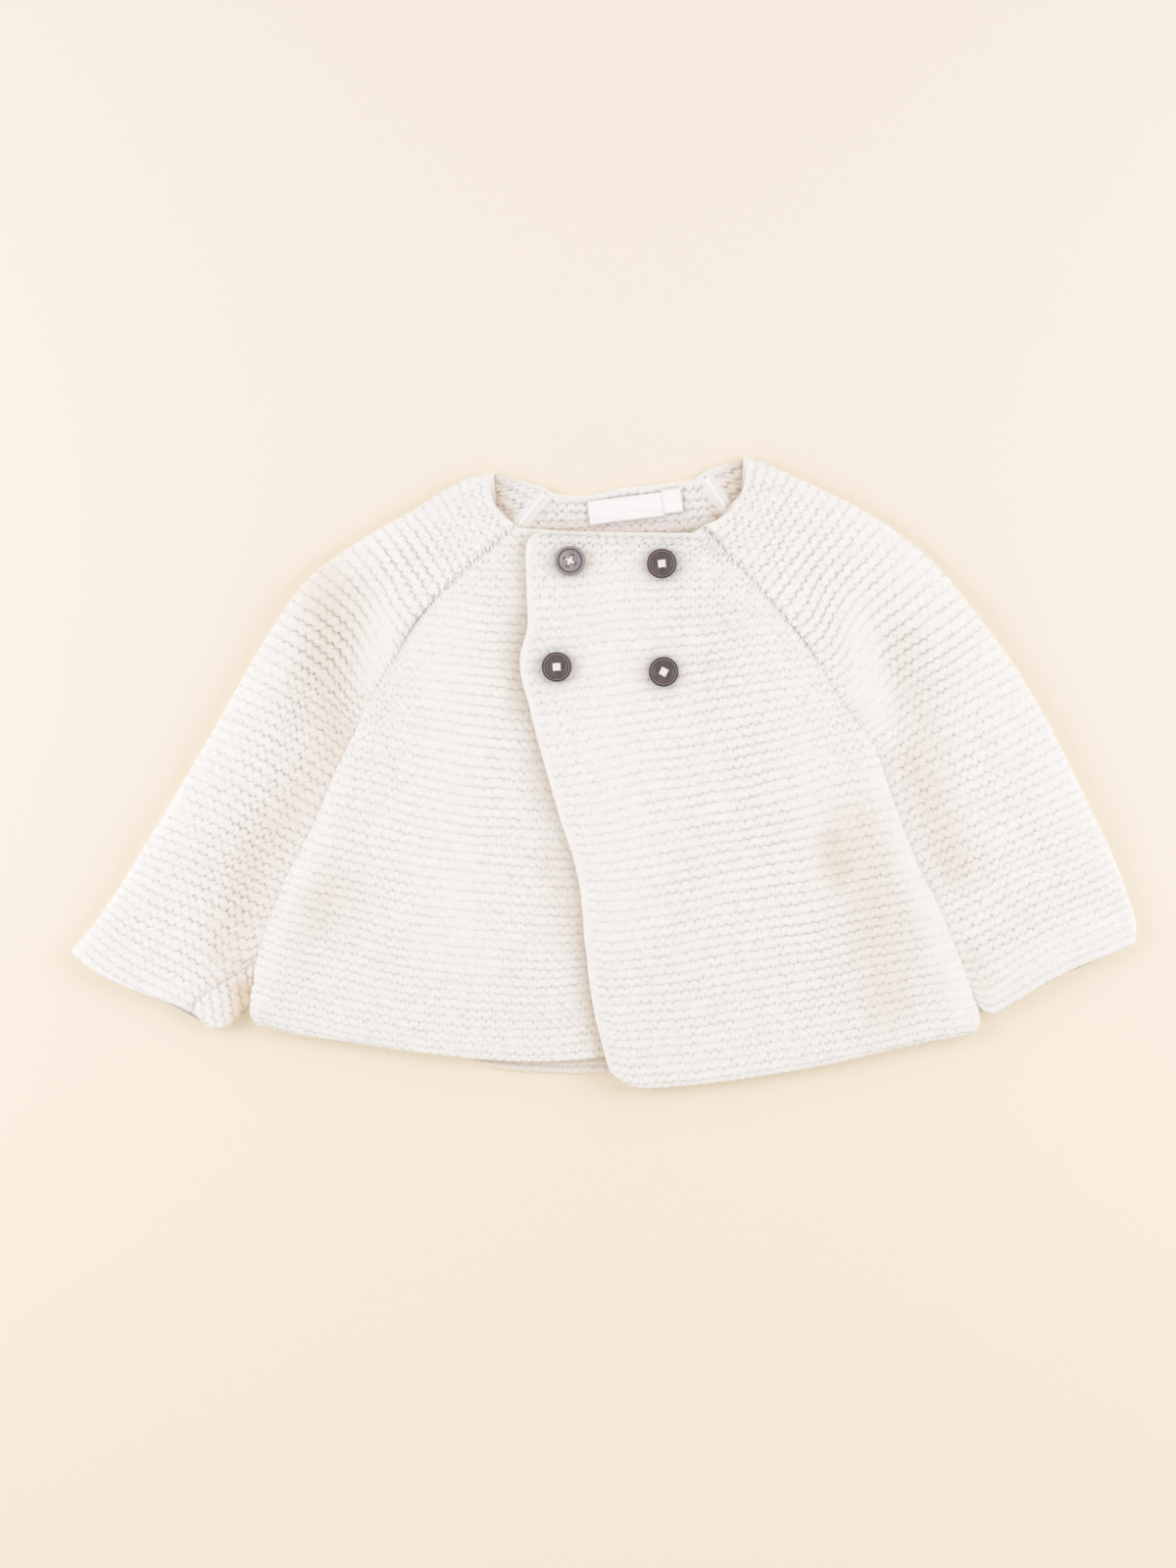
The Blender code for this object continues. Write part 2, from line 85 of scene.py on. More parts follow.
WALL = 2.6  # thickness of the knitted cloth, over its crests
SEAM_GAP = 0.35  # between pieces that are sewn together
LAYER_GAP = 0.4  # between layers that lie on each other
LOFT = 0.6  # how much more the soft front layer stands off the back
OVERLAP_REACH = 3.0  # how far past the lower front's edge the upper front stays raised
OVERLAP_RAMP = 14.0  # width over which it then comes down
UNDERARM_DIP = (5.0, 34.0)  # the raglan seams dip between these distances from the underarm
EDGE_TAIL = 0.4  # the straight last bit of cloth at an edge
EDGE_PROBE = 3.0  # how far inside an edge the height of its layer is read
FOLD_PROBE = 5.0  # the same, at a sleeve's outer fold
FOLD_SETTLING = 4.0  # how sharply a hollow flattens out where it would touch the layer below, in 1/mm

BACK_MID = WALL / 2
FRONT_MID = BACK_MID + WALL + LAYER_GAP + LOFT
LAYER_RISE = WALL + LAYER_GAP

# ---------------------------------------------------------------- edge tables, x and y

# From the neck down. "Right" is the wearer's right, at -X.
RIGHT_RAGLAN = [(-37, 106), (-51, 93.5), (-65, 81), (-78.5, 66.5), (-90, 52), (-99, 36), (-106, 18)]
RIGHT_SIDE = [(-106, 18), (-115.5, -1), (-124, -22), (-134.5, -43), (-144, -64), (-149, -83),
              (-151.5, -99), (-150.5, -105), (-147, -108.5)]
RIGHT_BACK_RAGLAN = [(-23, 121), (-64, 71), (-106, 18)]

LEFT_RAGLAN = [(42.5, 105), (60, 86.5), (78, 66.5), (94, 46), (108, 27), (117, 12)]
LEFT_SIDE = [(117, 12), (122, -5), (128, -22), (134.5, -39), (143, -56), (151, -74.5), (157, -89),
             (161.5, -104), (160.5, -109.5), (156.5, -112.5)]
LEFT_BACK_RAGLAN = [(42.5, 128), (80, 71), (117, 12)]

# The front edges, where the fronts cross each other. The left front lies on the right one.
LEFT_FRONT_OPENING = [(-26, 103), (-31, 100.5), (-33, 94.5), (-32.5, 74), (-32.3, 61.5), (-35.3, 49.5),
                      (-35, 40.5), (-31.5, 28), (-28.5, 16), (-20, -14), (-11.5, -42.5), (-7.5, -72),
                      (-4, -101), (2, -126), (6, -130.5)]
RIGHT_FRONT_OPENING = [(35.5, 100.5), (8, -122)]

# How far a hem hangs below the straight line between its corners, and a neck edge below its own.
# across (from the opening, or from the wearer's right, as a share), drop
LEFT_FRONT_HEM = [(0, 0), (0.03, 4.2), (0.09, 7.0), (0.2, 7.6), (0.31, 7.8), (0.48, 6.8), (0.62, 5.5),
                  (0.76, 3.1), (0.9, 0.9), (1, 0)]
RIGHT_FRONT_HEM = [(0, 0), (0.05, 1.0), (0.1, 2.5), (0.2, 4.9), (0.31, 6.1), (0.45, 6.5), (0.6, 5.8),
                   (0.77, 3.9), (0.88, 3.0), (0.95, 1.8), (1, 0)]
BACK_HEM = [(0, 0), (0.12, 5.0), (0.24, 10.6), (0.285, 13.4), (0.32, 16.2), (0.36, 17.9), (0.43, 18.6),
            (0.5, 18.3), (0.6, 17.4), (0.8, 9.0), (1, 0)]
BACK_NECK = [(0, 0), (0.15, 1.7), (0.3, 2.2), (0.5, 0.4), (0.75, 0.6), (1, 0)]

# The outer fold of each sleeve, from the neck to the cuff, and its underarm seam, from the underarm down.
RIGHT_SLEEVE_FOLD = [(-48, 128.7), (-59, 125.5), (-68, 121), (-80, 113.5), (-96.5, 104), (-111, 95),
                     (-122, 87), (-130, 79), (-136, 70.5), (-147, 53.5), (-166, 20), (-180, -4), (-195, -29),
                     (-206, -47), (-218, -64), (-228.9, -77)]
RIGHT_SLEEVE_SEAM = [(-106.5, 18), (-117, -2), (-125.7, -23), (-136.2, -44), (-145.8, -65), (-151, -84),
                     (-153.5, -98)]
LEFT_SLEEVE_FOLD = [(61.5, 135.4), (69, 133), (78, 129), (94.5, 121.5), (111, 113), (128, 102),
                    (145, 87), (161.5, 66.5), (178.5, 43), (195, 14), (208, -13), (220, -38.5), (228.3, -62),
                    (228.6, -73)]
LEFT_SLEEVE_SEAM = [(117.5, 12), (123.7, -5.5), (129.7, -23), (136.2, -40), (144.8, -57), (152.8, -75.5),
                    (158.5, -89), (163, -99)]

# How far each cuff hangs below the straight line from its outer fold to its seam.
# across (from the fold), drop
RIGHT_CUFF = [(0, 0), (0.16, 5.8), (0.38, 9.2), (0.62, 10.6), (0.7, 12.4), (0.78, 16.0), (0.9, 11.4), (1, 0)]
LEFT_CUFF = [(0, 0), (0.12, 1.0), (0.38, 0.9), (0.62, 3.1), (0.75, 5.1), (0.88, 6.6), (0.95, 4.2), (1, 0)]

NECK_HOLLOW = {"right": 4.2, "left": 6.6}  # how far each sleeve's front neck edge is hollowed
CAP_SHARE = 0.5  # the share of every panel's rows that lies above the underarm

# How fast the shape of an end fades into the rows next to it.
HEM_FADE_POWER = 1.6
BACK_NECK_FADE_POWER = 4
SLEEVE_NECK_FADE_POWER = 12
CUFF_FADE_FROM = 0.8  # share of the rows


class Fold(NamedTuple):
    """A soft ridge or hollow of the top layer, from (x0, y0) to (x1, y1), fading out over its width."""

    panels: str
    x0: float
    y0: float
    x1: float
    y1: float
    width: float
    height: float


FOLDS = [
    Fold("body", -99, 22, -126, -46, 8, 1.8),
    Fold("body", -126, -46, -143, -98, 8, 1.8),
    Fold("body", 112, 8, 134, -56, 8, 1.8),
    Fold("body", 134, -56, 152, -102, 8, 1.8),
    Fold("body", 72, 34, 80, -14, 12, 0.6),
    Fold("body", 97, -34, 101, -60, 8, -1.5),
    Fold("body", 101, -60, 126, -98, 8, -0.6),
    Fold("body", -94, -44, -108, -74, 9, -0.6),
    Fold("sleeves", -82, 100, -120, 68, 15, 1.6),
    Fold("sleeves", -120, 68, -186, -34, 15, 1.8),
    Fold("sleeves", -186, -34, -212, -74, 13, 1.4),
    Fold("sleeves", -116, 62, -120, 34, 9, -1.2),
    Fold("sleeves", -120, 34, -152, -60, 9, -1.0),
    Fold("both", -82, 72, -102, 38, 9, 1.0),
    Fold("sleeves", 96, 106, 150, 60, 15, 1.4),
    Fold("sleeves", 150, 60, 204, -28, 15, 1.7),
    Fold("sleeves", 123, 36, 130, 0, 9, -1.0),
    Fold("sleeves", 130, 0, 158, -78, 9, -1.0),
    Fold("both", 90, 64, 112, 28, 9, 1.1),
    Fold("sleeves", 204, -48, 167, -86, 5, -1.3),
    Fold("sleeves", 214, -66, 180, -88, 6, 0.6),
    Fold("sleeves", -177, -99, -150, -80, 4, -1.4),
    # How much further these stand out in the soft cloth than in the plain solids.
    Fold("both", -88, 68, -103, 24, 8, 1.8),
    Fold("sleeves", -119, 66, -127, 14, 8, -1.2),
    Fold("sleeves", -128, 66, -150, 26, 12, 0.8),
    Fold("both", 102, 62, 117, 14, 8, 1.5),
    Fold("sleeves", 129, 54, 140, -18, 7, -0.8),
    Fold("body", 118, -20, 140, -80, 8, 1.0),
    Fold("body", 94, -22, 108, -62, 8, -0.8),
    Fold("body", -118, -30, -138, -84, 8, 0.8),
    Fold("sleeves", -169, -97, -171, -104, 5, 1.2),
]

# ---------------------------------------------------------------- the knitting

# Garter ridges from the neck to the hem of a front and of the back, and to the cuff of a sleeve.
RIDGES = {"body": 58, "sleeves": 57}
# The ridges lie closer together towards the hem and the cuffs: share of the ridges, relative pitch.
BODY_GAUGE = {
    "right": [(0, 1.42), (0.3, 1.27), (0.5, 1.02), (1, 0.74)],
    "left": [(0, 1.14), (0.2, 1.16), (0.5, 1.05), (0.75, 0.97), (1, 0.87)],
}
SLEEVE_GAUGE = {
    "right": [(0, 1.08), (0.3, 1.12), (0.6, 1.0), (0.8, 0.87), (1, 0.74)],
    "left": [(0, 0.98), (0.25, 0.97), (0.5, 1.03), (0.7, 0.98), (1, 0.8)],
}
RIDGE_PITCH = 4.24
RIDGE_STEPS = 8  # rows of points in a ridge, which starts and ends in a valley
STITCH_STEPS = 4  # points across a stitch, on the shown faces
UNDER_STRIDE = 2  # an underside has every second of the points of a shown face
PLAIN_STRIDE = 16  # and a hidden face every sixteenth
SLEEVE_ROUND = 1.5  # how many stitches past its outer fold a sleeve has all its points
BUMP_REACH = (0.76, 1.05)  # how far a loop reaches, in stitches and in half ridges
LOOP_SHIFT = 0.09  # how far the two rows of loops of a ridge lie towards each other, in half ridges
RIGHT_ROW_LAG = 0.085  # how far the right front's rows lag at its hidden edge, as a share of its length
ROW_CLEARANCE = 0.02  # the even rows of points keep this far from a panel's rounded ends, in ridges
POINT_CLEARANCE = 0.4  # and the even points of a row from its rounded edges, in shares of their spacing

# How the stitches stray from their even places, sideways and down: seed, the stitches and ridges over which that
# changes, share. They stray only clear of the sides, between these distances, and over these ridges at the ends.
SIDEWAYS = [(5, 6, 5, 1), (7, 1.7, 1.2, 0.45)]
DOWNWARDS = [(6, 5, 6, 1), (8, 1.5, 1.3, 0.3)]
CLEAR_OF_SIDES = (0.5, 4)
CLEAR_OF_ENDS = (0, 1.5)
SCALLOP_REACH = (0, 0.5)  # ridges over which the scallops of a cast-off edge fade out
WANDER_SIZE = 64  # rows and columns of the table of random numbers that the straying is read from

# The relief of the yarn. The loops' unevenness: seed, how often it changes in a stitch and in a ridge, share.
UNEVENNESS = (3, 1.3, 1.7, 0.5)
LINED_SOFTENING = 0.45  # how much less the loops stand out where the valleys show as lines, as a share
LOOP_DEPTHS = (0.3, 0.7)  # share of the loops' depth that is always there, and the share that opening adds
VALLEY_DEPTHS = (0.5, 0.5, 0.5)  # the same for the valleys, and the share that lining adds
VALLEY_POWER = 5  # the more, the narrower the valleys

OPENED = {"body": 0.72, "sleeves": 0.85}  # how far the ridges are pulled apart, from 0 to about 1
OPENED_LIMITS = (0.05, 1.3)
NECK_OPENED = 1.2  # the same inside the neck
HEM_OPENED = 0.6  # and inside the back's hem
OPENED_DEEPEST = 1.1  # ridges that are pulled further apart than this get no deeper
NECK_INSIDE = {"body": 9, "sleeves": 7}  # ridges from the neck down whose inside can be seen
HEM_INSIDE = 54  # the back's ridges below this one show their inside under the right front's hem
END_PLAIN = (0.1, 0.8)  # ridges over which the yarn's relief sets in at the cast-on end

# ---------------------------------------------------------------- edges and seams

EDGE_ROUNDING = 1.25  # radius of a cast-off or selvedge edge
SEAM_ROUNDING = 1.0  # radius of an edge that is sewn to another
ROUNDING_STEPS = (0, 0.13, 0.5, 1.0)  # where the rounding has points, as shares of its radius
EDGE_LEAST = 0.12  # the share of the wall that is left at the very edge
SEAM_LEAST = 0.4  # the same where it is sewn, on its outside
SEAM_LEAST_INSIDE = 1.0  # and on its inside
SEAM_REACH = 0.3  # how far the sewn edges reach into each other
SEAM_SHADE = 1.6  # how far from a sewn edge its stitches pull the cloth in
SEAM_PULL = (0.3, 0.15)  # how deep that is, and how much more in a valley and less on a ridge
SEAM_BAND = 3.9  # inside, the cloth is smooth and thick this close to a seam
SEAM_BAND_EASING = (SEAM_BAND * 0.7, SEAM_BAND * 1.2)  # the distances over which that ends
SEAM_BAND_RISE = 0.9  # how much thicker it is there
SEAM_BAND_LIGHT = 2.0  # and how much less sheltered
BEAD_WIDTH = 3.6  # a free selvedge is a smooth bead
BEAD_EASING = (BEAD_WIDTH * 0.3, BEAD_WIDTH * 1.4)  # the distances over which the yarn's relief sets in beside it
BEAD_SWELL = 0.05  # how much thicker than the cloth the bead is, as a share

SLEEVE_TUCK = 2.8  # how far a sleeve's front layer reaches under the body's rolled side
TUCK_SHARES = {"right": (0.25, 0.36), "left": (0.28, 0.39)}  # the shares of the length over which that sets in
TUCK_FLATTENING = 0.85  # how much less it turns down there
SEWN_SHARES = {"right": (0.40, 0.48), "left": (0.49, 0.56)}  # the seam's stitches show down to these shares
SEWING_FROM = 0.012  # and from this one
SEWING_POINTS = 60  # points on the line that they follow
SEWING_STRAY = 0.3  # how far their angle strays, in radians
SEWING_RISE = 0.75  # how far they lie above the middle of the cloth's edge
INSIDE_SHARES = (0.01, 0.15)  # the shares of the length between which the raglans' seams show inside the neck
INSIDE_POINTS = 16
INSIDE_RISE = 0.1  # how far the middle of their cord lies above the cloth there
INSIDE_RADIUS = 1.7
FLUFF_LOWEST = 1.8  # height under which no fluff grows
FLUFF_FACING = -0.4  # nor does it where the surface faces further down than this, from -1 to 1
FLUFF_ON_FACE = 0.004  # its density on a level face, as a share of that on an edge
FLUFF_BEND = 0.7  # how far the tip of a fibre is bent aside, as a share of its height
FLUFF_LEAN = 1.2  # how far the fibres lean, in radians
FLUFF_SHORTEST = 0.5  # the shortest fibre, as a share of the longest

SELVEDGE_CURL = 6.5  # width over which the upper front's free edge curls up
# How far it does: share of its length, height.
SELVEDGE_LIFT = [(0, 0.8), (0.22, 1.1), (0.42, 1.2), (0.55, 0.4), (0.7, 0.7), (0.85, 0.3), (1, 0.3)]

FOLD_FADE = 0.6  # by how much the yarn's shading fades at a sleeve's outer fold
FOLD_FADE_REACH = 1.7  # stitches over which it does
FOLD_BITE = 0.12  # how deep the valleys bite into that fold
FOLD_BITE_REACH = 1.3

# The crease round the inner corner of the wearer's right cuff.
CUFF_CREASE = [(-177, -105), (-173.7, -98), (-166, -92.3), (-150, -82)]
CREASE_DEPTH = 0.85
CREASE_WIDTH = 2.3
CUFF_TURN = 10.0  # the angle at which the ridges run beyond it, in degrees
TOP_LEAST = 0.05  # less than this share of the way up to the top layer counts as none

# ---------------------------------------------------------------- sizes of the buttons and the ribbons

# The profile of a button, as shares of its radius and thickness, from the middle of its face to its back.
BUTTON_PROFILE = [(0, 0.6), (0.3, 0.6), (0.5, 0.63), (0.62, 0.7), (0.69, 0.8), (0.73, 0.86), (0.765, 0.86),
                  (0.785, 0.76), (0.805, 0.74), (0.825, 0.8), (0.85, 0.96), (0.89, 1.0), (0.93, 0.97),
                  (0.97, 0.86), (0.99, 0.7), (1, 0.5), (0.985, 0.3), (0.94, 0.14), (0.85, 0.04), (0.72, 0), (0, 0)]
BUTTON_STEPS = 72
BUTTON_BEVEL = 0.12
BEVEL_ANGLE = 50.0  # edges that turn by more than this are bevelled, in degrees
BUTTON_WELD = 0.01  # points of a button that are closer than this become one
# middle, half width and change of colour of each ring on a button's face. The rings are painted light: a change above
# 1 is a painted highlight, and one below 1 is painted shade on the rim or in the groove.
DARK_BUTTON_SHADING = [(0.98, 0.12, 0.3), (0.84, 0.03, 5.0)]
GLARE_BUTTON_SHADING = [(0.9, 0.13, 1.25), (0.77, 0.045, 0.3), (1.0, 0.045, 0.35)]
HOLE_RADIUS = 0.8
HOLE_DEPTH = 12.0  # of the rods that cut the holes, which is more than a button is thick
HOLE_STEPS = 20
HOLE_PLACES = [(1.7, 1.7), (-1.7, 1.7), (-1.7, -1.7), (1.7, -1.7)]
THREAD_REACH = 0.86  # the threads lie on the holes' inner sides, this share of the way out to their middles
THREAD_RADIUS = 0.27
THREAD_DROP = 1.9  # how far they go down through the holes
THREAD_POINTS = 13
THREAD_BULGE_POWER = 0.7  # the less, the more evenly they are heaped between two holes
THREAD_WAVE = (0.05, 7, 2)  # how far each thread wavers, how fast, and how much that differs in the next one
THREAD_SINK = 0.1  # how far they sink into each other
BUTTON_TURNS = {"upper_right": 20, "upper_left": 8, "lower_right": 5, "lower_left": 65}
# This button's paler colour and rings are a painted reflection of glare.
GLARE_BUTTON = "upper_right"  # it is the one with its threads crossed, too

RIBBON_TURN = 7.1  # in degrees
RIBBON_WALL = 0.35
RIBBON_LIE = 0.32  # height of a ribbon's middle over the cloth
RIBBON_WAVES = [(0.14, 0.55, 0, 1), (0.12, 0.21, 1.3, 0)]  # height, turn along and across it, start
RIBBON_STEPS = 12  # points across it
RIBBON_LEAST_STEPS = 10  # the fewest along it, where it is shorter than as many mm
END_CURL = 0.35  # how far its ends curl up
END_CURL_POWER = 6  # the more, the closer to its ends
LIFT_POWER = 3  # the same for its long edges
LIFT_WAVE = (0.6, 0.4, 0.31, 0.7)  # how far these do at least, how much further in places, turn along it, start
LABEL_LENGTH = 33.0
LABEL_LIFT = 0.35  # how far the label's long edges stand up
SIZE_TAB_LENGTH = 8.6
SIZE_TAB_LIFT = 0.5
RIBBON_SHIFT = 1.0  # how far the ribbons have slid towards the neck edge
SIZE_TAB_SHIFT = (-1.2, 0.7, 0.3)  # onto the label's end

# ---------------------------------------------------------------- how the cloth lies, place by place

# Where the cloth is stretched or closed up: as the folds, with the change of OPENED for their height.
STRETCHES = [
    Fold("body", -66, 62, -62, -75, 15, -0.5),
    Fold("body", 4, 70, 6, -62, 17, -0.4),
    Fold("body", 86, 12, 96, -45, 12, -0.3),
    Fold("body", -92, 40, -78, 75, 8, -0.25),
    Fold("body", -22, 99, 52, 96, 7, 0.3),
    Fold("body", 45, 70, 100, -100, 14, 0.15),
    Fold("sleeves", 112, 60, 117, 26, 7, -0.7),
    Fold("sleeves", -96, 62, -101, 40, 6, -0.7),
    Fold("sleeves", -100, 104, -218, -60, 13, -0.3),
    Fold("sleeves", 118, 110, 225, -50, 13, -0.3),
    Fold("sleeves", -84, 88, -122, 52, 15, 0.3),
    Fold("sleeves", -122, 52, -162, -60, 15, 0.3),
    Fold("sleeves", 80, 96, 130, 46, 15, 0.3),
    Fold("sleeves", 168, -94, 226, -70, 11, -0.5),
    Fold("sleeves", -224, -78, -186, -98, 8, -0.3),
    Fold("body", 119, -4, 157, -104, 6, -0.9),
    Fold("body", -112, 0, -149, -102, 5, -0.3),
    Fold("sleeves", -96, 76, -94, 44, 6.5, -0.7),
    Fold("sleeves", 108, 72, 114, 32, 8, -0.7),
]

# Where the light reaches the cloth least: as the folds, with the share of the light that is lost for their height.
# That share is painted as shade into the yarn's colour.
SHELTERED = [
    Fold("sleeves", -117, 76, -115, 8, 13.5, 0.95),
    Fold("sleeves", -118, 6, -150, -40, 13, 0.75),
    Fold("sleeves", -150, -40, -159, -76, 13, 0.8),
    Fold("sleeves", -160, -90, -154, -80, 6, 0.9),
    Fold("sleeves", -152.5, -93, -154, -108, 6.5, 2.4),
    Fold("sleeves", 126, 56, 142, 8, 9, 0.45),
    Fold("sleeves", 134, 4, 150, -40, 10, 0.75),
    Fold("sleeves", 158, -76, 163, -94, 5, 0.5),
    Fold("sleeves", 160, -78, 190, -54, 3.5, 0.15),
    Fold("body", 108, -24, 122, -98, 14, 0.6),
    Fold("body", 100, -31, 102, -43, 8, 1.15),
    Fold("body", -112, -52, -120, -62, 12, 0.4),
    Fold("body_right", -36, 64, -36, 28, 6, 0.75),
    Fold("body_right", -31, 14, -24, -20, 6, 0.3),
    Fold("body_right", -21, -38, -15, -60, 8.5, 0.5),
    Fold("body_right", -11, -66, -7, -100, 4.5, 0.6),
    Fold("body_right", -5, -100, 1, -124, 5.5, 0.7),
    Fold("inside", -50, 122, -42, 108, 8, 1.2),
    Fold("inside", -36, 106, 44, 106, 4, 0.2),
    Fold("inside", 62, 136, 54, 112, 8, 1.2),
    Fold("inside", -62, -126, 0, -127, 5, 0.5),
]

# 1 where the valleys show as long dark lines and the loops between them hardly do, and -1 where only the creases
# between the loops show, as dots. These dark lines and dots are painted shade, which the relief follows too.
LINED = [
    Fold("sleeves", -82, 92, -120, 58, 18, 0.9),
    Fold("sleeves", 84, 82, 146, 56, 21, 0.9),
    Fold("sleeves", -52, 118, -62, 98, 12, -0.7),
    Fold("sleeves", 58, 122, 64, 96, 13, -0.7),
    Fold("body", 60, -10, 90, -60, 20, 0.35),
    Fold("body_right", -52, 52, -60, -30, 17, 0.8),
    Fold("body", -20, 98, 55, 92, 20, -0.8),
    Fold("body", -58, 88, -104, 14, 13, -0.8),
    Fold("body", 62, 80, 110, 10, 15, -0.8),
    Fold("body_left", -26, 70, -16, 10, 14, -0.5),
    Fold("body", -135, -112, 140, -116, 20, -0.4),
]

# Where the ridges run aslant in their panel: as the folds, with the ridges that they lag for their height.
SLANTS = [
    Fold("sleeves", -100, 104, -218, -60, 58, 2.2),
    Fold("sleeves", -84, 66, -100, 34, 14, -1.1),
    Fold("sleeves", 162, 66, 196, 8, 44, -1.3),
    Fold("sleeves", 88, 66, 108, 34, 14, -1.1),
    Fold("body", -125, -5, -160, -110, 48, 2.0),
]

FRONT_COLUMNS = 96
BACK_COLUMNS = 120
SLEEVE_FRONT_COLUMNS = 72
SLEEVE_BACK_COLUMNS = 48
EDGE_ROLL_STEPS = 8
FOLD_ROLL_STEPS = 14
TANGENT_REACH = 0.038  # share of a panel's rows over which the run of its edge is read
CORNER_SHARE = 0.077  # share of the rows where the outline turns its corner at the hem

FRAME_MIDDLE = (-6.3, -5.25)  # the place on the floor that the camera is over
CAMERA_SUBJECT = 5.0  # height of the cloth that the camera's height is counted from
FLOOR_REACH = 3.0  # half the width of the floor, in metres
# The floor's graded colour is a painted fall-off of the light: it is yellower towards the hem's side.
FLOOR_FADE = (0.25, -0.35)  # the floor's colour goes over into the near one between these, +Y, in metres
LAMP_PLACE = (0.75, 0.12, 0.5)  # of the right lamp, in metres. The left one is its mirror image
LAMP_SIZE = 0.5


# ---------------------------------------------------------------- curves and heights


def smoothstep(low, high, value):
    """0 below low and 1 above high, easing from one to the other between them."""
    t = np.clip((np.asarray(value, float) - low) / (high - low), 0, 1)
    return t * t * (3 - 2 * t)


def hump(away, width):
    """1 at no distance, fading out over the width on both sides."""
    return np.exp(-((away / width) ** 2))


def smooth_line(points, steps=24):
    """The points joined by a Catmull-Rom curve, as a dense polyline."""
    p = np.array(points, float)
    if len(p) == 2:
        return p
    p = np.vstack([2 * p[0] - p[1], p, 2 * p[-1] - p[-2]])
    t = np.linspace(0, 1, steps, endpoint=False)[:, None]
    spans = []
    for a, b, c, d in zip(p, p[1:], p[2:], p[3:]):
        spans.append(0.5 * (2 * b + (c - a) * t + (2 * a - 5 * b + 4 * c - d) * t**2
                            + (3 * b - a - 3 * c + d) * t**3))
    return np.vstack([*spans, p[-2:-1]])


def along(points, shares):
    """The places at these shares of the curve's length."""
    line = smooth_line(points)
    reach = np.concatenate([[0], np.cumsum(np.linalg.norm(np.diff(line, axis=0), axis=1))])
    at = np.asarray(shares, float) * reach[-1]
    return np.stack([np.interp(at, reach, line[:, k]) for k in range(2)], axis=-1)


def graded(shares, gauge):
    """The shares of a panel's length at these shares of its ridges, which lie closer together in places."""
    at = np.linspace(0, 1, 257)
    middles = (at[1:] + at[:-1]) / 2
    reach = np.concatenate([[0], np.cumsum(np.interp(middles, *np.array(gauge, float).T))])
    return np.interp(shares, at, reach / reach[-1])


def drop_at(table, across):
    """A hem's or cuff's drop, read from its table."""
    line = smooth_line(table)
    return np.interp(across, line[:, 0], line[:, 1])


def unit(v):
    """Vectors of the same directions and a length of 1."""
    return v / np.linalg.norm(v, axis=-1, keepdims=True)


def heights(folds, xy, *panels):
    """The height at each place of each of the folds of these panels."""
    for fold in folds:
        if fold.panels in (*panels, "both"):
            start = np.array([fold.x0, fold.y0])
            run = np.array([fold.x1, fold.y1]) - start
            share = np.clip(((xy - start) @ run) / (run @ run), 0, 1)
            away = np.linalg.norm(xy - start - share[..., None] * run, axis=-1)
            yield fold.height * hump(away, fold.width)


def summed(folds, xy, *panels):
    """The heights of these folds at each place, added up."""
    return sum(heights(folds, xy, *panels), np.zeros(xy.shape[:-1]))


def greatest(folds, xy, *panels):
    """The greatest height of these folds at each place."""
    return np.max([np.zeros(xy.shape[:-1]), *heights(folds, xy, *panels)], axis=0)


def overlap_rise(xy):
    """How far the wearer's left pieces are raised by the right front that lies below them."""
    (top_x, top_y), (low_x, low_y) = RIGHT_FRONT_OPENING
    edge_x = top_x + (top_y - xy[..., 1]) / (top_y - low_y) * (low_x - top_x)
    beyond = xy[..., 0] - edge_x
    return LAYER_RISE * (1 - smoothstep(OVERLAP_REACH, OVERLAP_REACH + OVERLAP_RAMP, beyond))


def top_height(xy, panels, side):
    """Height of the middle of the top layer's cloth, which no hollow brings down into the layer below."""
    lift = summed(FOLDS, xy, panels)
    settled = np.logaddexp(0, FOLD_SETTLING * (lift + LOFT)) / FOLD_SETTLING - LOFT
    return FRONT_MID + settled + (overlap_rise(xy) if side == "left" else 0)


# ---------------------------------------------------------------- panels, as grids on the middle of their cloth


def straight(start, end, count):
    """Rows of points from start to end, both given for each row."""
    return start[:, None] + (end - start)[:, None] * np.linspace(0, 1, count)[None, :, None]


class SeamLine(NamedTuple):
    """A panel's outline past the underarm: its raglan and then its other seam, both from the neck down."""

    upper: list
    lower: list

    def at(self, shares):
        """The places at these shares of the panel's rows."""
        above = along(self.upper, np.clip(shares / CAP_SHARE, 0, 1))
        below = along(self.lower, np.clip((shares - CAP_SHARE) / (1 - CAP_SHARE), 0, 1))
        return np.where((shares <= CAP_SHARE)[:, None], above, below)

    def square(self, shares, outward):
        """The direction square to the outline, towards outward. A hem corner keeps that of the side above it."""
        shares = np.clip(shares, 0, 1 - CORNER_SHARE)
        after = self.at(np.clip(shares + TANGENT_REACH, 0, 1 - CORNER_SHARE))
        before = self.at(np.clip(shares - TANGENT_REACH, 0, 1))
        tangent = unit(after - before)
        square = np.stack([-tangent[:, 1], tangent[:, 0]], axis=1)
        return square * np.sign((square * outward).sum(axis=1, keepdims=True))

    def closing_angle(self, shares):
        """How far the edge turns to meet its neighbour: a quarter turn at a side seam and none at a raglan,
        easing over the last of the raglan before the underarm."""
        away = np.linalg.norm(self.at(shares) - np.array(self.upper[-1]), axis=1)
        easing = 1 - smoothstep(*UNDERARM_DIP, away)
        return math.pi / 2 * np.where(shares < CAP_SHARE, easing, 1)


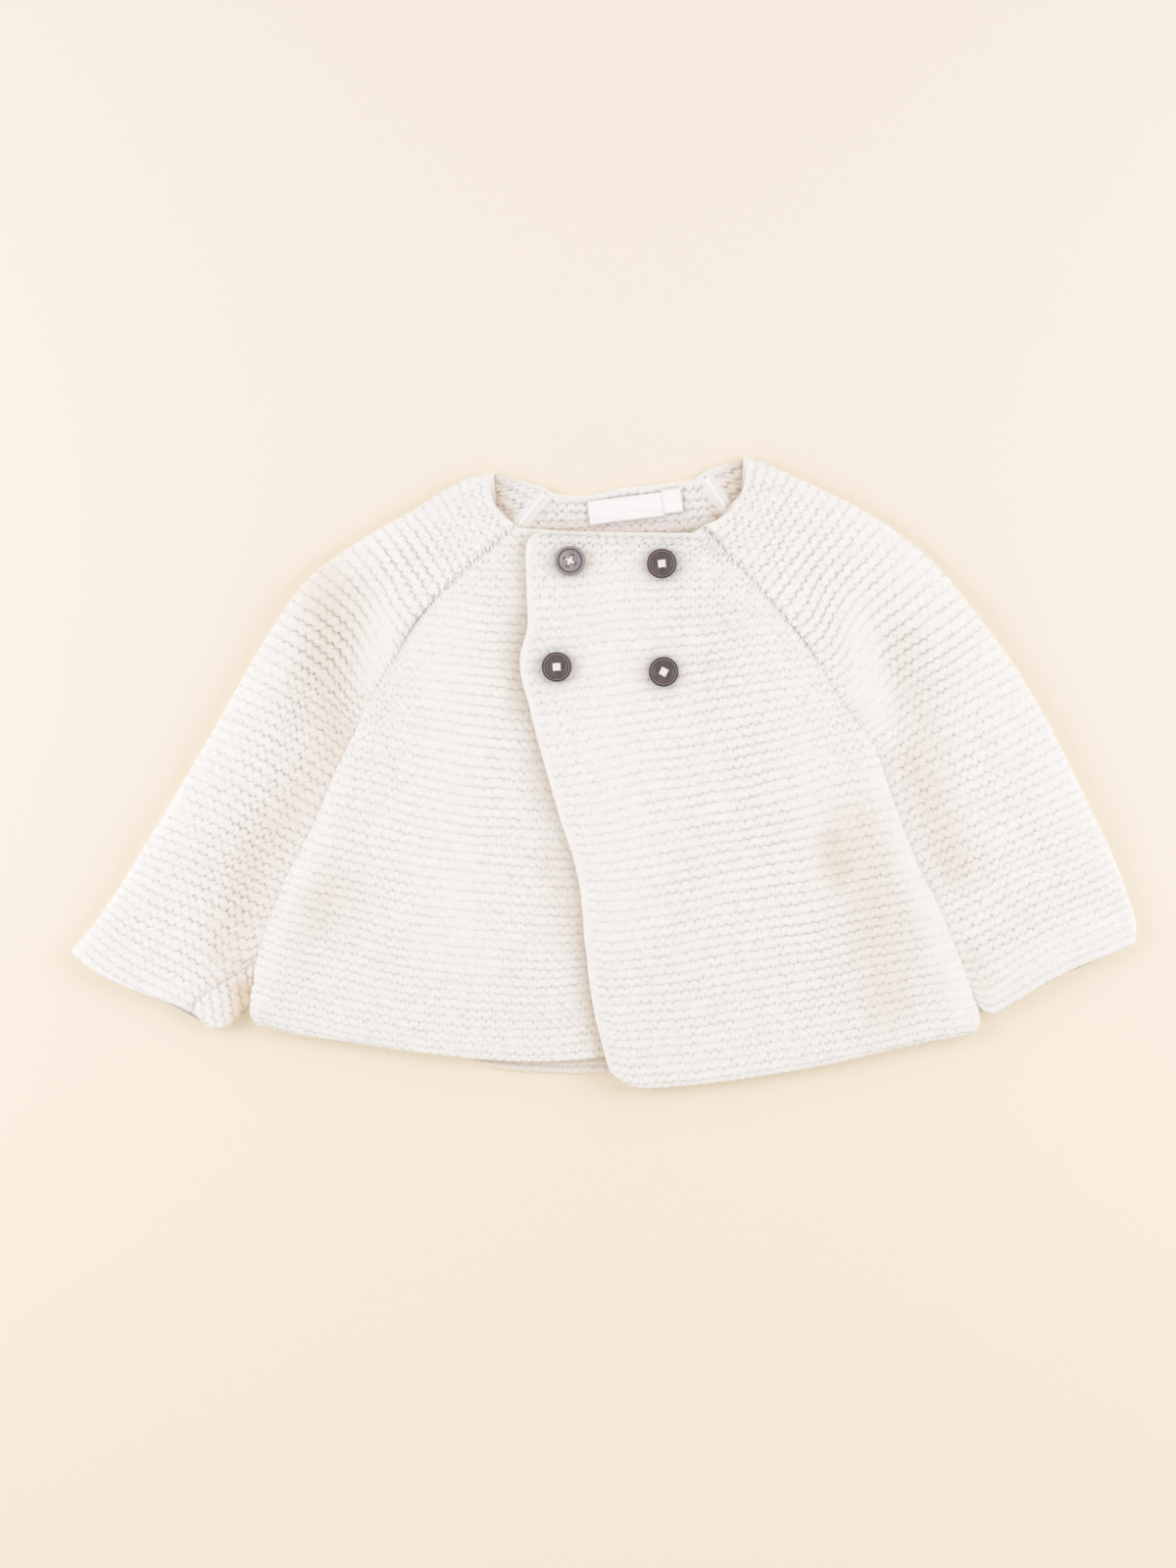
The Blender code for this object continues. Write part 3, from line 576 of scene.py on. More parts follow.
def edge_roll(edge, outward, angle, height, face):
    """The columns of points by which a layer curls over to meet the other one halfway.

    face is 1 for the front layer and -1 for the back one, and outward is square to the edge. The cloth runs
    level, turns by the angle in an arc, and ends in a short straight tail.
    """
    edge = edge + SEAM_REACH * outward
    radius = (height - BACK_MID - SEAM_GAP) / 2 - EDGE_TAIL
    arc_inset = (WALL / 2 + radius) * np.sin(angle) + EDGE_TAIL * np.cos(angle)
    start = height if face > 0 else np.full_like(height, BACK_MID)
    columns = []
    for share in np.linspace(1, 0, EDGE_ROLL_STEPS + 1):
        back_along = share * radius * math.pi / 2
        turned = np.maximum(angle - back_along / radius, 0)
        level = np.maximum(back_along - angle * radius, 0)
        inset = arc_inset - radius * np.sin(turned) + level
        z = start - face * radius * (1 - np.cos(turned))
        columns.append(np.concatenate([edge - outward * inset[:, None], z[:, None]], axis=1))
    inset = WALL / 2 * np.sin(angle)
    z = start - face * (radius * (1 - np.cos(angle)) + EDGE_TAIL * np.sin(angle))
    columns.append(np.concatenate([edge - outward * inset[:, None], z[:, None]], axis=1))
    return np.stack(columns, axis=1)


def front_grid(side, shares):
    """A front, from its opening to its raglan and side."""
    raglan, seam, opening, hem = {
        "right": (RIGHT_RAGLAN, RIGHT_SIDE, RIGHT_FRONT_OPENING, RIGHT_FRONT_HEM),
        "left": (LEFT_RAGLAN, LEFT_SIDE, LEFT_FRONT_OPENING, LEFT_FRONT_HEM),
    }[side]
    line = SeamLine(raglan, seam)
    edge = line.at(shares)
    lag = RIGHT_ROW_LAG * np.sin(math.pi * shares) if side == "right" else 0
    opened = along(opening, shares - lag)
    outward = line.square(shares, unit(edge - opened))
    height = top_height(edge - EDGE_PROBE * unit(edge - opened), "body", side)
    roll = edge_roll(edge, outward, line.closing_angle(shares), height, face=1)
    flat = straight(opened, roll[:, 0, :2], FRONT_COLUMNS)
    across = np.linspace(0, 1, FRONT_COLUMNS)
    flat[..., 1] -= drop_at(hem, across)[None] * (shares**HEM_FADE_POWER)[:, None]
    z = top_height(flat, "body", side)
    z[:, -1] = roll[:, 0, 2]
    if side == "left":
        inside = np.linalg.norm(flat - flat[:, :1], axis=2)
        lift = np.interp(shares, *np.array(SELVEDGE_LIFT, float).T)
        z += lift[:, None] * hump(inside, SELVEDGE_CURL)
    return np.concatenate([np.dstack([flat, z]), roll[:, 1:]], axis=1)


def back_grid(shares):
    """The back, from the wearer's right side to the left one."""
    right_line = SeamLine(RIGHT_BACK_RAGLAN, RIGHT_SIDE)
    left_line = SeamLine(LEFT_BACK_RAGLAN, LEFT_SIDE)
    across = unit(left_line.at(shares) - right_line.at(shares))
    rolls = []
    for side, line, outward in (("right", right_line, -across), ("left", left_line, across)):
        edge = line.at(shares)
        height = top_height(edge - EDGE_PROBE * outward, "body", side)
        rolls.append(edge_roll(edge, line.square(shares, outward), line.closing_angle(shares), height, face=-1))
    right_roll, left_roll = rolls
    flat = straight(right_roll[:, 0, :2], left_roll[:, 0, :2], BACK_COLUMNS)
    share = np.linspace(0, 1, BACK_COLUMNS)
    flat[..., 1] -= drop_at(BACK_HEM, share)[None] * (shares**HEM_FADE_POWER)[:, None]
    flat[..., 1] -= drop_at(BACK_NECK, share)[None] * ((1 - shares) ** BACK_NECK_FADE_POWER)[:, None]
    flat = np.dstack([flat, np.full(flat.shape[:2], BACK_MID)])
    return np.concatenate([right_roll[:, :0:-1], flat, left_roll[:, 1:]], axis=1)


def sleeve_grid(side, shares):
    """A sleeve, as one piece folded round its outer edge: its front layer, the fold, and its back layer."""
    raglan, back_raglan, seam, fold = {
        "right": (RIGHT_RAGLAN, RIGHT_BACK_RAGLAN, RIGHT_SLEEVE_SEAM, RIGHT_SLEEVE_FOLD),
        "left": (LEFT_RAGLAN, LEFT_BACK_RAGLAN, LEFT_SLEEVE_SEAM, LEFT_SLEEVE_FOLD),
    }[side]
    outer_edge = along(fold, shares)
    front_line, back_line = SeamLine(raglan, seam), SeamLine(back_raglan, seam)
    inner, inner_back = front_line.at(shares), back_line.at(shares)
    to_front, to_back = unit(inner - outer_edge), unit(inner_back - outer_edge)
    square_front, square_back = front_line.square(shares, to_front), back_line.square(shares, to_back)
    in_cap = (shares <= CAP_SHARE)[:, None]
    tucked = smoothstep(*TUCK_SHARES[side], shares)
    inner = inner + (SLEEVE_TUCK * tucked - SEAM_GAP * (1 - tucked) * in_cap[:, 0])[:, None] * square_front
    inner_back = inner_back - SEAM_GAP * square_back * in_cap
    height = top_height(inner - EDGE_PROBE * to_front, "sleeves", side)
    angle = front_line.closing_angle(shares) * (1 - TUCK_FLATTENING * tucked)
    front_roll = edge_roll(inner, square_front, angle, height, face=1)
    back_roll = edge_roll(inner_back, square_back, back_line.closing_angle(shares), height, face=-1)

    radius = (top_height(outer_edge + FOLD_PROBE * to_front, "sleeves", side) - BACK_MID) / 2
    folded = []
    for turn in np.linspace(0, math.pi, FOLD_ROLL_STEPS + 1):
        toward = unit(to_front * (1 - turn / math.pi) + to_back * turn / math.pi)
        inset = WALL / 2 + radius * (1 - math.sin(turn))
        z = BACK_MID + radius * (1 + math.cos(turn))
        folded.append(np.concatenate([outer_edge + toward * inset[:, None], z[:, None]], axis=1))
    folded = np.stack(folded, axis=1)

    front = straight(front_roll[:, 0, :2], folded[:, 0, :2], SLEEVE_FRONT_COLUMNS)
    z = top_height(front, "sleeves", side)
    z[:, 0], z[:, -1] = front_roll[:, 0, 2], folded[:, 0, 2]
    under = straight(folded[:, -1, :2], back_roll[:, 0, :2], SLEEVE_BACK_COLUMNS)
    under = np.dstack([under, np.full(under.shape[:2], BACK_MID)])
    middle = np.concatenate(
        [front_roll[:, :0:-1], np.dstack([front, z]), folded[:, 1:-1], under, back_roll[:, 1:]], axis=1
    )
    shape_sleeve_ends(middle, inner, outer_edge, shares, side)
    return middle


def shape_sleeve_ends(middle, inner, outer_edge, shares, side):
    """Hollows the front layer's neck edge and drops the cuff of a sleeve, fading into the rows next to them."""
    span = inner - outer_edge
    across = ((middle[..., :2] - outer_edge[:, None]) * span[:, None]).sum(-1) / (span**2).sum(-1)[:, None]
    across = np.clip(across, 0, 1)
    on_top = smoothstep(BACK_MID, FRONT_MID, middle[..., 2])
    to_neck = unit(np.stack([-span[:, 1], span[:, 0]], axis=1)) * (1 if side == "right" else -1)
    hollow = NECK_HOLLOW[side] * np.sin(math.pi * across) * on_top
    hollow *= ((1 - shares) ** SLEEVE_NECK_FADE_POWER)[:, None]
    middle[..., :2] -= to_neck[:, None] * hollow[..., None]
    cuff = {"right": RIGHT_CUFF, "left": LEFT_CUFF}[side]
    middle[..., 1] -= drop_at(cuff, across) * smoothstep(CUFF_FADE_FROM, 1, shares)[:, None]


# ---------------------------------------------------------------- node trees


class Value:
    """The output of a node, on which sums become Math nodes."""

    def __init__(self, graph, socket):
        self.graph, self.socket = graph, socket

    def _math(self, operation, *others):
        values = dict(enumerate((self, *others)))
        return self.graph.add("ShaderNodeMath", {"operation": operation}, values)

    def __add__(self, other):
        return self._math("ADD", other)

    def __sub__(self, other):
        return self._math("SUBTRACT", other)

    def __rsub__(self, other):
        return self.graph.add("ShaderNodeMath", {"operation": "SUBTRACT"}, {0: other, 1: self})

    def __mul__(self, other):
        return self._math("MULTIPLY", other)

    def __truediv__(self, other):
        return self._math("DIVIDE", other)

    def __pow__(self, other):
        return self._math("POWER", other)

    def sine(self):
        return self._math("SINE")

    def cosine(self):
        return self._math("COSINE")

    def fraction(self):
        return self._math("FRACT")

    def absolute(self):
        return self._math("ABSOLUTE")

    def above(self, level):
        """1 where this value is more than the level, and 0 elsewhere."""
        return self._math("GREATER_THAN", level)

    def kept(self, low=0.0, high=1.0):
        """This value, held between low and high."""
        return self.graph.add("ShaderNodeClamp", None, {"Value": self, "Min": low, "Max": high})

    def ranged(self, low, high, to_low=0.0, to_high=1.0):
        """This value's place between low and high, eased, as a place between to_low and to_high."""
        sockets = {"Value": self, "From Min": low, "From Max": high, "To Min": to_low, "To Max": to_high}
        return self.graph.add("ShaderNodeMapRange", {"interpolation_type": "SMOOTHSTEP"}, sockets)


class Graph:
    """A node tree that nodes are added to."""

    def __init__(self, tree):
        self.tree = tree

    def node(self, kind, settings=None, sockets=None):
        """Adds a node: its settings first, then what its sockets hold or are linked to."""
        made = self.tree.nodes.new(kind)
        for name, value in (settings or {}).items():
            setattr(made, name, value)
        for name, value in (sockets or {}).items():
            if isinstance(value, Value):
                self.link(value, made, name)
            else:
                made.inputs[name].default_value = value
        return made

    def link(self, value, node, name):
        """Leads a value into a node's socket."""
        self.tree.links.new(value.socket, node.inputs[name])

    def add(self, kind, settings=None, sockets=None, output=0):
        """Adds a node and returns one of its outputs."""
        return Value(self, self.node(kind, settings, sockets).outputs[output])

    def of(self, node, output):
        """An output of a node that is there already."""
        return Value(self, node.outputs[output])

    def parts(self, vector):
        """The X, Y and Z of a vector."""
        node = self.node("ShaderNodeSeparateXYZ", None, {"Vector": vector})
        return [self.of(node, axis) for axis in "XYZ"]

    def vector(self, **parts):
        """A vector of these parts, X, Y and Z, which are 0 where they aren't given."""
        return self.add("ShaderNodeCombineXYZ", None, parts)

    def noise(self, place, scale, detail, distortion=0.0):
        """Cloudy random numbers about 0.5. The scale is in 1/m."""
        sockets = {"Vector": place, "Scale": scale, "Detail": detail, "Distortion": distortion}
        return self.add("ShaderNodeTexNoise", None, sockets)

    def mixed(self, factor, first, second, blend="MIX"):
        """The first colour, going over into the second with the factor."""
        first, second = (colour if isinstance(colour, Value) else (*colour, 1) for colour in (first, second))
        sockets = {"Factor": factor, "A": first, "B": second}
        return self.add("ShaderNodeMix", {"data_type": "RGBA", "blend_type": blend}, sockets, output=2)

    def nook(self, distance):
        """1 in the open, and less the more other surfaces there are within the distance."""
        return self.add("ShaderNodeAmbientOcclusion", {"samples": 4}, {"Distance": distance}, output="AO")

    def emboss(self, shader, height, strength, distance):
        """Gives a shader's surface a fine relief."""
        sockets = {"Strength": strength, "Distance": distance, "Height": height}
        self.link(self.add("ShaderNodeBump", None, sockets), shader, "Normal")


# ---------------------------------------------------------------- materials

BLACK = (0.0, 0.0, 0.0)
MOTTLE, GRAIN, FIBRES = 420.0, 1050.0, 2600.0  # scales of the random shades in the yarn and the resin, in 1/m


def new_material(name, finish):
    """A material with only a Principled BSDF on its output, and the graph it is in."""
    made = bpy.data.materials.new(name)
    made.use_nodes = True
    made.node_tree.nodes.clear()
    graph = Graph(made.node_tree)
    shader = graph.node("ShaderNodeBsdfPrincipled", None, finish)
    graph.node("ShaderNodeOutputMaterial", None, {"Surface": graph.of(shader, "BSDF")})
    return made, graph, shader


def wool(name):
    """A matt, slightly furry finish with no colour yet.

    It comes with its graph and shader, the place of each point, and its mottle and fine fibres.
    """
    finish = {"Roughness": 0.92, "Specular IOR Level": 0.2, "Sheen Weight": 0.2, "Sheen Roughness": 0.6}
    # Emission Strength is 1, for the painted glow that colour_yarn sets in Emission Color.
    made, graph, shader = new_material(name, {**finish, "Emission Strength": 1.0})
    position = graph.add("ShaderNodeTexCoord", output="Object")
    return made, graph, shader, position, graph.noise(position, MOTTLE, 3.0), graph.noise(position, FIBRES, 4.0)


KNIT_MARKS = ("opened", "shown", "sewn_in", "sheltered", "lined")  # what a knit shell says about each of its points


def colour_yarn(graph, knit, shader, shade, sheltered=0.0):
    """Colours the yarn, from bare to full painted shade. Where the cloth shelters it, a warm painted shade is
    multiplied in, and there a painted glow, standing in for the light that wool lets through, lightens it a little."""
    shaded = graph.mixed(shade, knit.yarn_colour, knit.shade_colour)
    nook = graph.nook(20 * MM)
    # Painted shade: a warm tint multiplied in where other surfaces are near and where the cloth is sheltered.
    painted_nook_shade = (nook.ranged(0.86, 0.25, 0.0, 0.45) + sheltered).kept()
    graph.link(graph.mixed(painted_nook_shade, shaded, knit.nook_colour, "MULTIPLY"), shader, "Base Color")
    # Painted glow: emission deep in the nooks, standing in for light that comes through the wool.
    graph.link(graph.mixed(nook.ranged(0.7, 0.2), BLACK, knit.painted_glow_colour), shader, "Emission Color")


def knit_material(name, knit):
    """Cream yarn in garter stitch, with painted shade in the crease beside each loop and, finely, in the valleys.

    The stitch and ridge numbers are the surface's UV map.
    """
    made, graph, shader, position, mottle, fibres = wool(name)
    stitch, ridge, _ = graph.parts(graph.add("ShaderNodeUVMap"))
    opened, shown, sewn_in, sheltered, lined = (
        graph.add("ShaderNodeAttribute", {"attribute_name": mark}, output=2) for mark in KNIT_MARKS
    )
    strength = graph.noise(position, MOTTLE, 2.0).ranged(0.38, 0.64)
    grain = graph.noise(position, GRAIN, 1.0) - 0.5

    # Painted shade in the creases beside the loops: aslant, and half a stitch apart in the two rows of a ridge.
    away = (ridge * 2.0).fraction() - 0.5
    offset = ridge.fraction().above(0.5) * 0.5
    across = ((stitch + away * (knit.slant / 2) + offset).fraction() - 0.5).absolute()
    dash = across.ranged(0.32, 0.47) * away.absolute().ranged(0.5, 0.15) * (strength * 0.9 + 0.1)
    dash = dash * (1.0 - lined * 0.75)

    # Painted shade in the valleys between the ridges: a fine line that swings round the loops, with pits in it, in a
    # soft band.
    swung = ridge - (stitch * math.tau).cosine() * (opened * 0.07 + 0.01)
    valley = ((swung + 0.5).fraction() - 0.5).absolute()
    pits = ((stitch * 2.0).fraction() - 0.5).absolute().ranged(0.1, 0.45)
    pits = pits * (0.6 - lined * 0.4) + lined * 0.4 + 0.4
    line = valley.ranged(0.13, 0.0) * pits * (strength * 0.75 + 0.25 + lined * 0.1)
    band = valley.ranged(0.34, 0.02)

    # Painted shade in the gaps between the sewing stitches along a seam.
    seam = sewn_in * ((ridge * 2.0 + stitch).fraction() - 0.5).absolute().ranged(0.2, 0.5)

    # The painted shade, made uneven by random grain and mottle.
    shade = dash * (opened**2.0 * 0.3 + shown * 0.05) + line * (opened * 0.42 + shown * 0.16)
    shade = shade + band * opened * (lined * 0.06 + 0.1) + grain * (opened * 0.6 + 0.05)
    shade = (shade + seam * 0.6 + mottle * 0.2 - 0.06).kept()
    colour_yarn(graph, knit, shader, shade, sheltered * (shade * 0.4 + 0.38))
    plies = ((stitch * 4.0 + ridge * 9.0) * math.tau).sine()
    graph.emboss(shader, plies * 0.15 + fibres - dash * opened * 0.6 - line * shown * 0.4, 0.6, 0.3 * MM)
    return made


def loose_yarn_material(name, knit):
    """The same yarn where it lies by itself: in sewing, fluff and buttons' threads."""
    made, graph, shader, _, mottle, fibres = wool(name)
    colour_yarn(graph, knit, shader, (mottle * 0.2 - 0.06).kept())
    graph.emboss(shader, fibres, 0.4, 0.2 * MM)
    return made


def ribbon_material(trim):
    """A white woven ribbon. Its UV map is in mm: x along it, y across it."""
    made, graph, shader = new_material("ribbon_white", {"Roughness": 0.6, "Sheen Weight": 0.15})
    along_it, across, _ = graph.parts(graph.add("ShaderNodeUVMap"))
    weft = (along_it * (math.tau / 0.32)).sine()
    warp = (across * (math.tau / 0.25)).sine()
    weave = weft * warp * 0.5 + 0.5
    selvedge = (across.absolute() - trim.ribbon_width / MM / 2 + 0.9).above(0.0)
    deep = [0.9 * part for part in trim.ribbon_colour]
    colour = graph.mixed((weave * 0.5 + selvedge * 0.35).kept(), trim.ribbon_colour, deep)
    graph.link(colour, shader, "Base Color")
    graph.emboss(shader, weave + selvedge * 0.6, 0.35, 0.1 * MM)
    return made


def button_material(name, colour, rings):
    """Smooth resin with faint streaks and rings of painted highlight and painted shade: their distance from the middle
    and half width, as shares of the radius, and the factor by which they change the colour."""
    made, graph, shader = new_material(
        name, {"Specular IOR Level": 0.4, "Coat Weight": 0.08, "Coat Roughness": 0.12}
    )
    position = graph.add("ShaderNodeTexCoord", output="Object")
    stretched = graph.add("ShaderNodeMapping", None, {"Vector": position, "Scale": (1.0, 0.35, 1.0)})
    streaks = graph.noise(stretched, MOTTLE, 5.0, 0.6)
    reach = graph.add("ShaderNodeAttribute", {"attribute_name": "reach"}, output=2)
    mixed = graph.mixed(streaks.ranged(0.35, 0.7), colour, changed(colour, 1.45))
    # Each ring paints a highlight or a shade into the resin's colour.
    for middle, half_width, change in rings:
        ring = (reach - middle).absolute().ranged(half_width, half_width * 0.5)
        mixed = graph.mixed(ring, mixed, changed(colour, change))
    graph.link(mixed, shader, "Base Color")
    graph.link(streaks.ranged(0.2, 0.8, 0.24, 0.36), shader, "Roughness")
    return made


def changed(colour, factor):
    """A colour made lighter or darker by the factor."""
    return [min(1.0, factor * part) for part in colour]


def yarn(knit, name, maker):
    """The yarn material of this name, which is made when it is first asked for."""
    return bpy.data.materials.get(name) or maker(name, knit)


# ---------------------------------------------------------------- knitted shells


class Panel:
    """The middle of a panel's cloth as a fine grid, with the way out of it at every point.

    Its rows are numbered in ridges. Places along a row are counted in stitches from one of its columns. sewn says
    for each end of the rows whether it is sewn to another panel. turned may change the stitch and ridge numbers in
    which the yarn is laid, as at a corner that is folded over.
    """

    def __init__(self, kind, side, grid, shares, ridges, counted_from, knit, sewn, turned=None):
        self.kind, self.side, self.ridges, self.sewn, self.turned = kind, side, ridges, sewn, turned
        self.width = knit.stitch_width / MM
        self.sewing = 1 - smoothstep(*SEWN_SHARES[side], shares) if side else np.ones_like(shares)
        steps = np.linalg.norm(np.diff(grid, axis=1), axis=2)
        reach = np.pad(np.cumsum(steps, axis=1), ((0, 0), (1, 0)))
        self.stitches = (reach - reach[:, [counted_from]]) / self.width
        run = unit(np.gradient(grid, axis=1))
        fall = np.gradient(grid, ridges, axis=0)
        out = unit(np.cross(run, fall))
        down = np.cross(out, run)
        pitch = (fall * down).sum(axis=2, keepdims=True)
        self.flip = side == "left"
        self.table = np.concatenate([grid, -out if self.flip else out, down, pitch], axis=2)

    def at(self, row, places):
        """The point, the way out, the way down and the ridge's pitch at places along a row."""
        found = [np.interp(places, self.stitches[row], self.table[row, :, k]) for k in range(self.table.shape[2])]
        found = np.stack(found, axis=1)
        return found[:, :3], found[:, 3:6], found[:, 6:9], found[:, 9]


def ridge_numbers(count):
    """The rows of points from one end of a panel to the other, closer together where its ends are rounded."""
    end = np.array(ROUNDING_STEPS) * EDGE_ROUNDING / RIDGE_PITCH
    inner = np.arange(count * RIDGE_STEPS + 1) / RIDGE_STEPS
    inner = inner[(inner > end[-1] + ROW_CLEARANCE) & (inner < count - end[-1] - ROW_CLEARANCE)]
    return np.concatenate([end, inner, count - end[::-1]])


def stitch_places(start, end, start_radius, end_radius, stride):
    """The places of points along a row: on the divisions of its stitches, and on its rounded edges."""
    left = start + np.array(ROUNDING_STEPS) * start_radius
    right = end - np.array(ROUNDING_STEPS[::-1]) * end_radius
    clear = POINT_CLEARANCE / STITCH_STEPS
    first = math.ceil((left[-1] + clear) * STITCH_STEPS)
    last = math.floor((right[0] - clear) * STITCH_STEPS)
    marks = np.arange(first, last + 1)
    places = marks / STITCH_STEPS
    kept = marks % stride(places) == 0
    return np.concatenate([left, places[kept], right])


def zip_rows(first, second, first_places, second_places):
    """The triangles between two rows of points, which may differ in number."""
    keys = np.concatenate([first_places[1:], second_places[1:]])
    in_first = np.argsort(keys, kind="stable") < len(first) - 1
    a, b = np.cumsum(in_first), np.cumsum(~in_first)
    third = np.where(in_first, first[np.maximum(a - 1, 0)], second[np.maximum(b - 1, 0)])
    return np.stack([third, second[b], first[a]], axis=1)


def wander(seed, x, y):
    """A smooth random number from -1 to 1 over x and y, the same in each run. It changes over a step of 1."""
    table = np.random.default_rng(seed).uniform(-1, 1, (WANDER_SIZE, WANDER_SIZE))
    column, line = np.floor(x).astype(int), np.floor(y).astype(int)
    u, v = smoothstep(0, 1, x - column), smoothstep(0, 1, y - line)
    near, far = table[line % WANDER_SIZE], table[(line + 1) % WANDER_SIZE]
    rows = np.arange(len(np.atleast_1d(x)))
    corner = [line_row[rows, (column + step) % WANDER_SIZE] for line_row in (near, far) for step in (0, 1)]
    return (corner[0] * (1 - u) + corner[1] * u) * (1 - v) + (corner[2] * (1 - u) + corner[3] * u) * v


def straying(waves, stitch, ridge):
    """How far the stitches stray, from about -1.5 to 1.5."""
    return sum(share * wander(seed, stitch / across, ridge / down) for seed, across, down, share in waves)


def bumps(stitch, ridge, slant):
    """The loops of garter stitch, two rows of them in a ridge and half a stitch apart.

    It is 1 on top of a loop and about 0.5 in the creases between loops.
    """
    rows = 2 * ridge
    highest = np.zeros_like(rows)
    for step in (-1, 0, 1):
        row = np.floor(rows) + step
        away = rows - row - 0.5 - LOOP_SHIFT * (1 - 2 * (row % 2))
        across = stitch + slant * away / 2 + 0.5 * (row % 2)
        across = across - np.floor(across) - 0.5
        highest = np.maximum(highest, 1 - (across / BUMP_REACH[0]) ** 2 - (away / BUMP_REACH[1]) ** 2)
    return highest


def relief(knit, stitch, ridge, opened, lined):
    """How far the surface of the yarn stands off its crests, in mm, at a stitch and ridge number.

    opened is 0 where the ridges lie close against each other and 1 where they are pulled apart, and lined is 1
    where only the valleys between them show.
    """
    phase = ridge - np.floor(ridge)
    valley = np.abs(2 * phase - 1)
    crease = 2 * (1 - bumps(stitch, ridge, knit.slant))
    seed, in_stitch, in_ridge, share = UNEVENNESS
    uneven = 1 + share * wander(seed, stitch * in_stitch, ridge * in_ridge)
    uneven = uneven * (1 - LINED_SOFTENING * np.maximum(lined, 0))
    always, by_opening = LOOP_DEPTHS
    loops = knit.stitch_depth / MM * (always + by_opening * opened) * crease * uneven
    always, by_opening, by_lining = VALLEY_DEPTHS
    return -loops - knit.ridge_depth / MM * (always + by_opening * opened + by_lining * lined) * valley**VALLEY_POWER


def edge_shape(away, radius, least):
    """The share of the wall's half thickness at these distances from an edge, all in mm."""
    inside = np.clip(1 - away / radius, 0, 1)
    return np.maximum(np.sqrt(1 - inside**2), least)


def side_shape(away, sewn, sign):
    """The same at these distances from a side, which is sewn to its neighbour or is a free edge with a bead."""
    if sewn:
        return edge_shape(away, SEAM_ROUNDING, SEAM_LEAST if sign > 0 else SEAM_LEAST_INSIDE)
    bead = 1 + BEAD_SWELL * hump(away - BEAD_WIDTH / 2, BEAD_WIDTH / 2)
    return bead * edge_shape(away, EDGE_ROUNDING, EDGE_LEAST)


def turned_corner(knit):
    """Lays the yarn afresh where the inner corner of the wearer's right cuff is folded over."""
    crease = smooth_line(CUFF_CREASE)
    slope = math.radians(CUFF_TURN)

    def turned(point, stitch, ridge):
        above = point[:, 1] - np.interp(point[:, 0], crease[:, 0], crease[:, 1], left=-np.inf, right=-np.inf)
        on_top = smoothstep(BACK_MID, FRONT_MID, point[:, 2])
        on_top = np.where(on_top > TOP_LEAST, on_top, 0)
        inside = (on_top > 0) & (above < 0)
        along_it = point[:, 0] * math.cos(slope) + point[:, 1] * math.sin(slope)
        square_to_it = point[:, 0] * -math.sin(slope) + point[:, 1] * math.cos(slope)
        stitch = np.where(inside, square_to_it / (knit.stitch_width / MM), stitch)
        ridge = np.where(inside, along_it / RIDGE_PITCH, ridge)
        return (stitch, ridge), CREASE_DEPTH * hump(above, CREASE_WIDTH) * on_top

    return turned


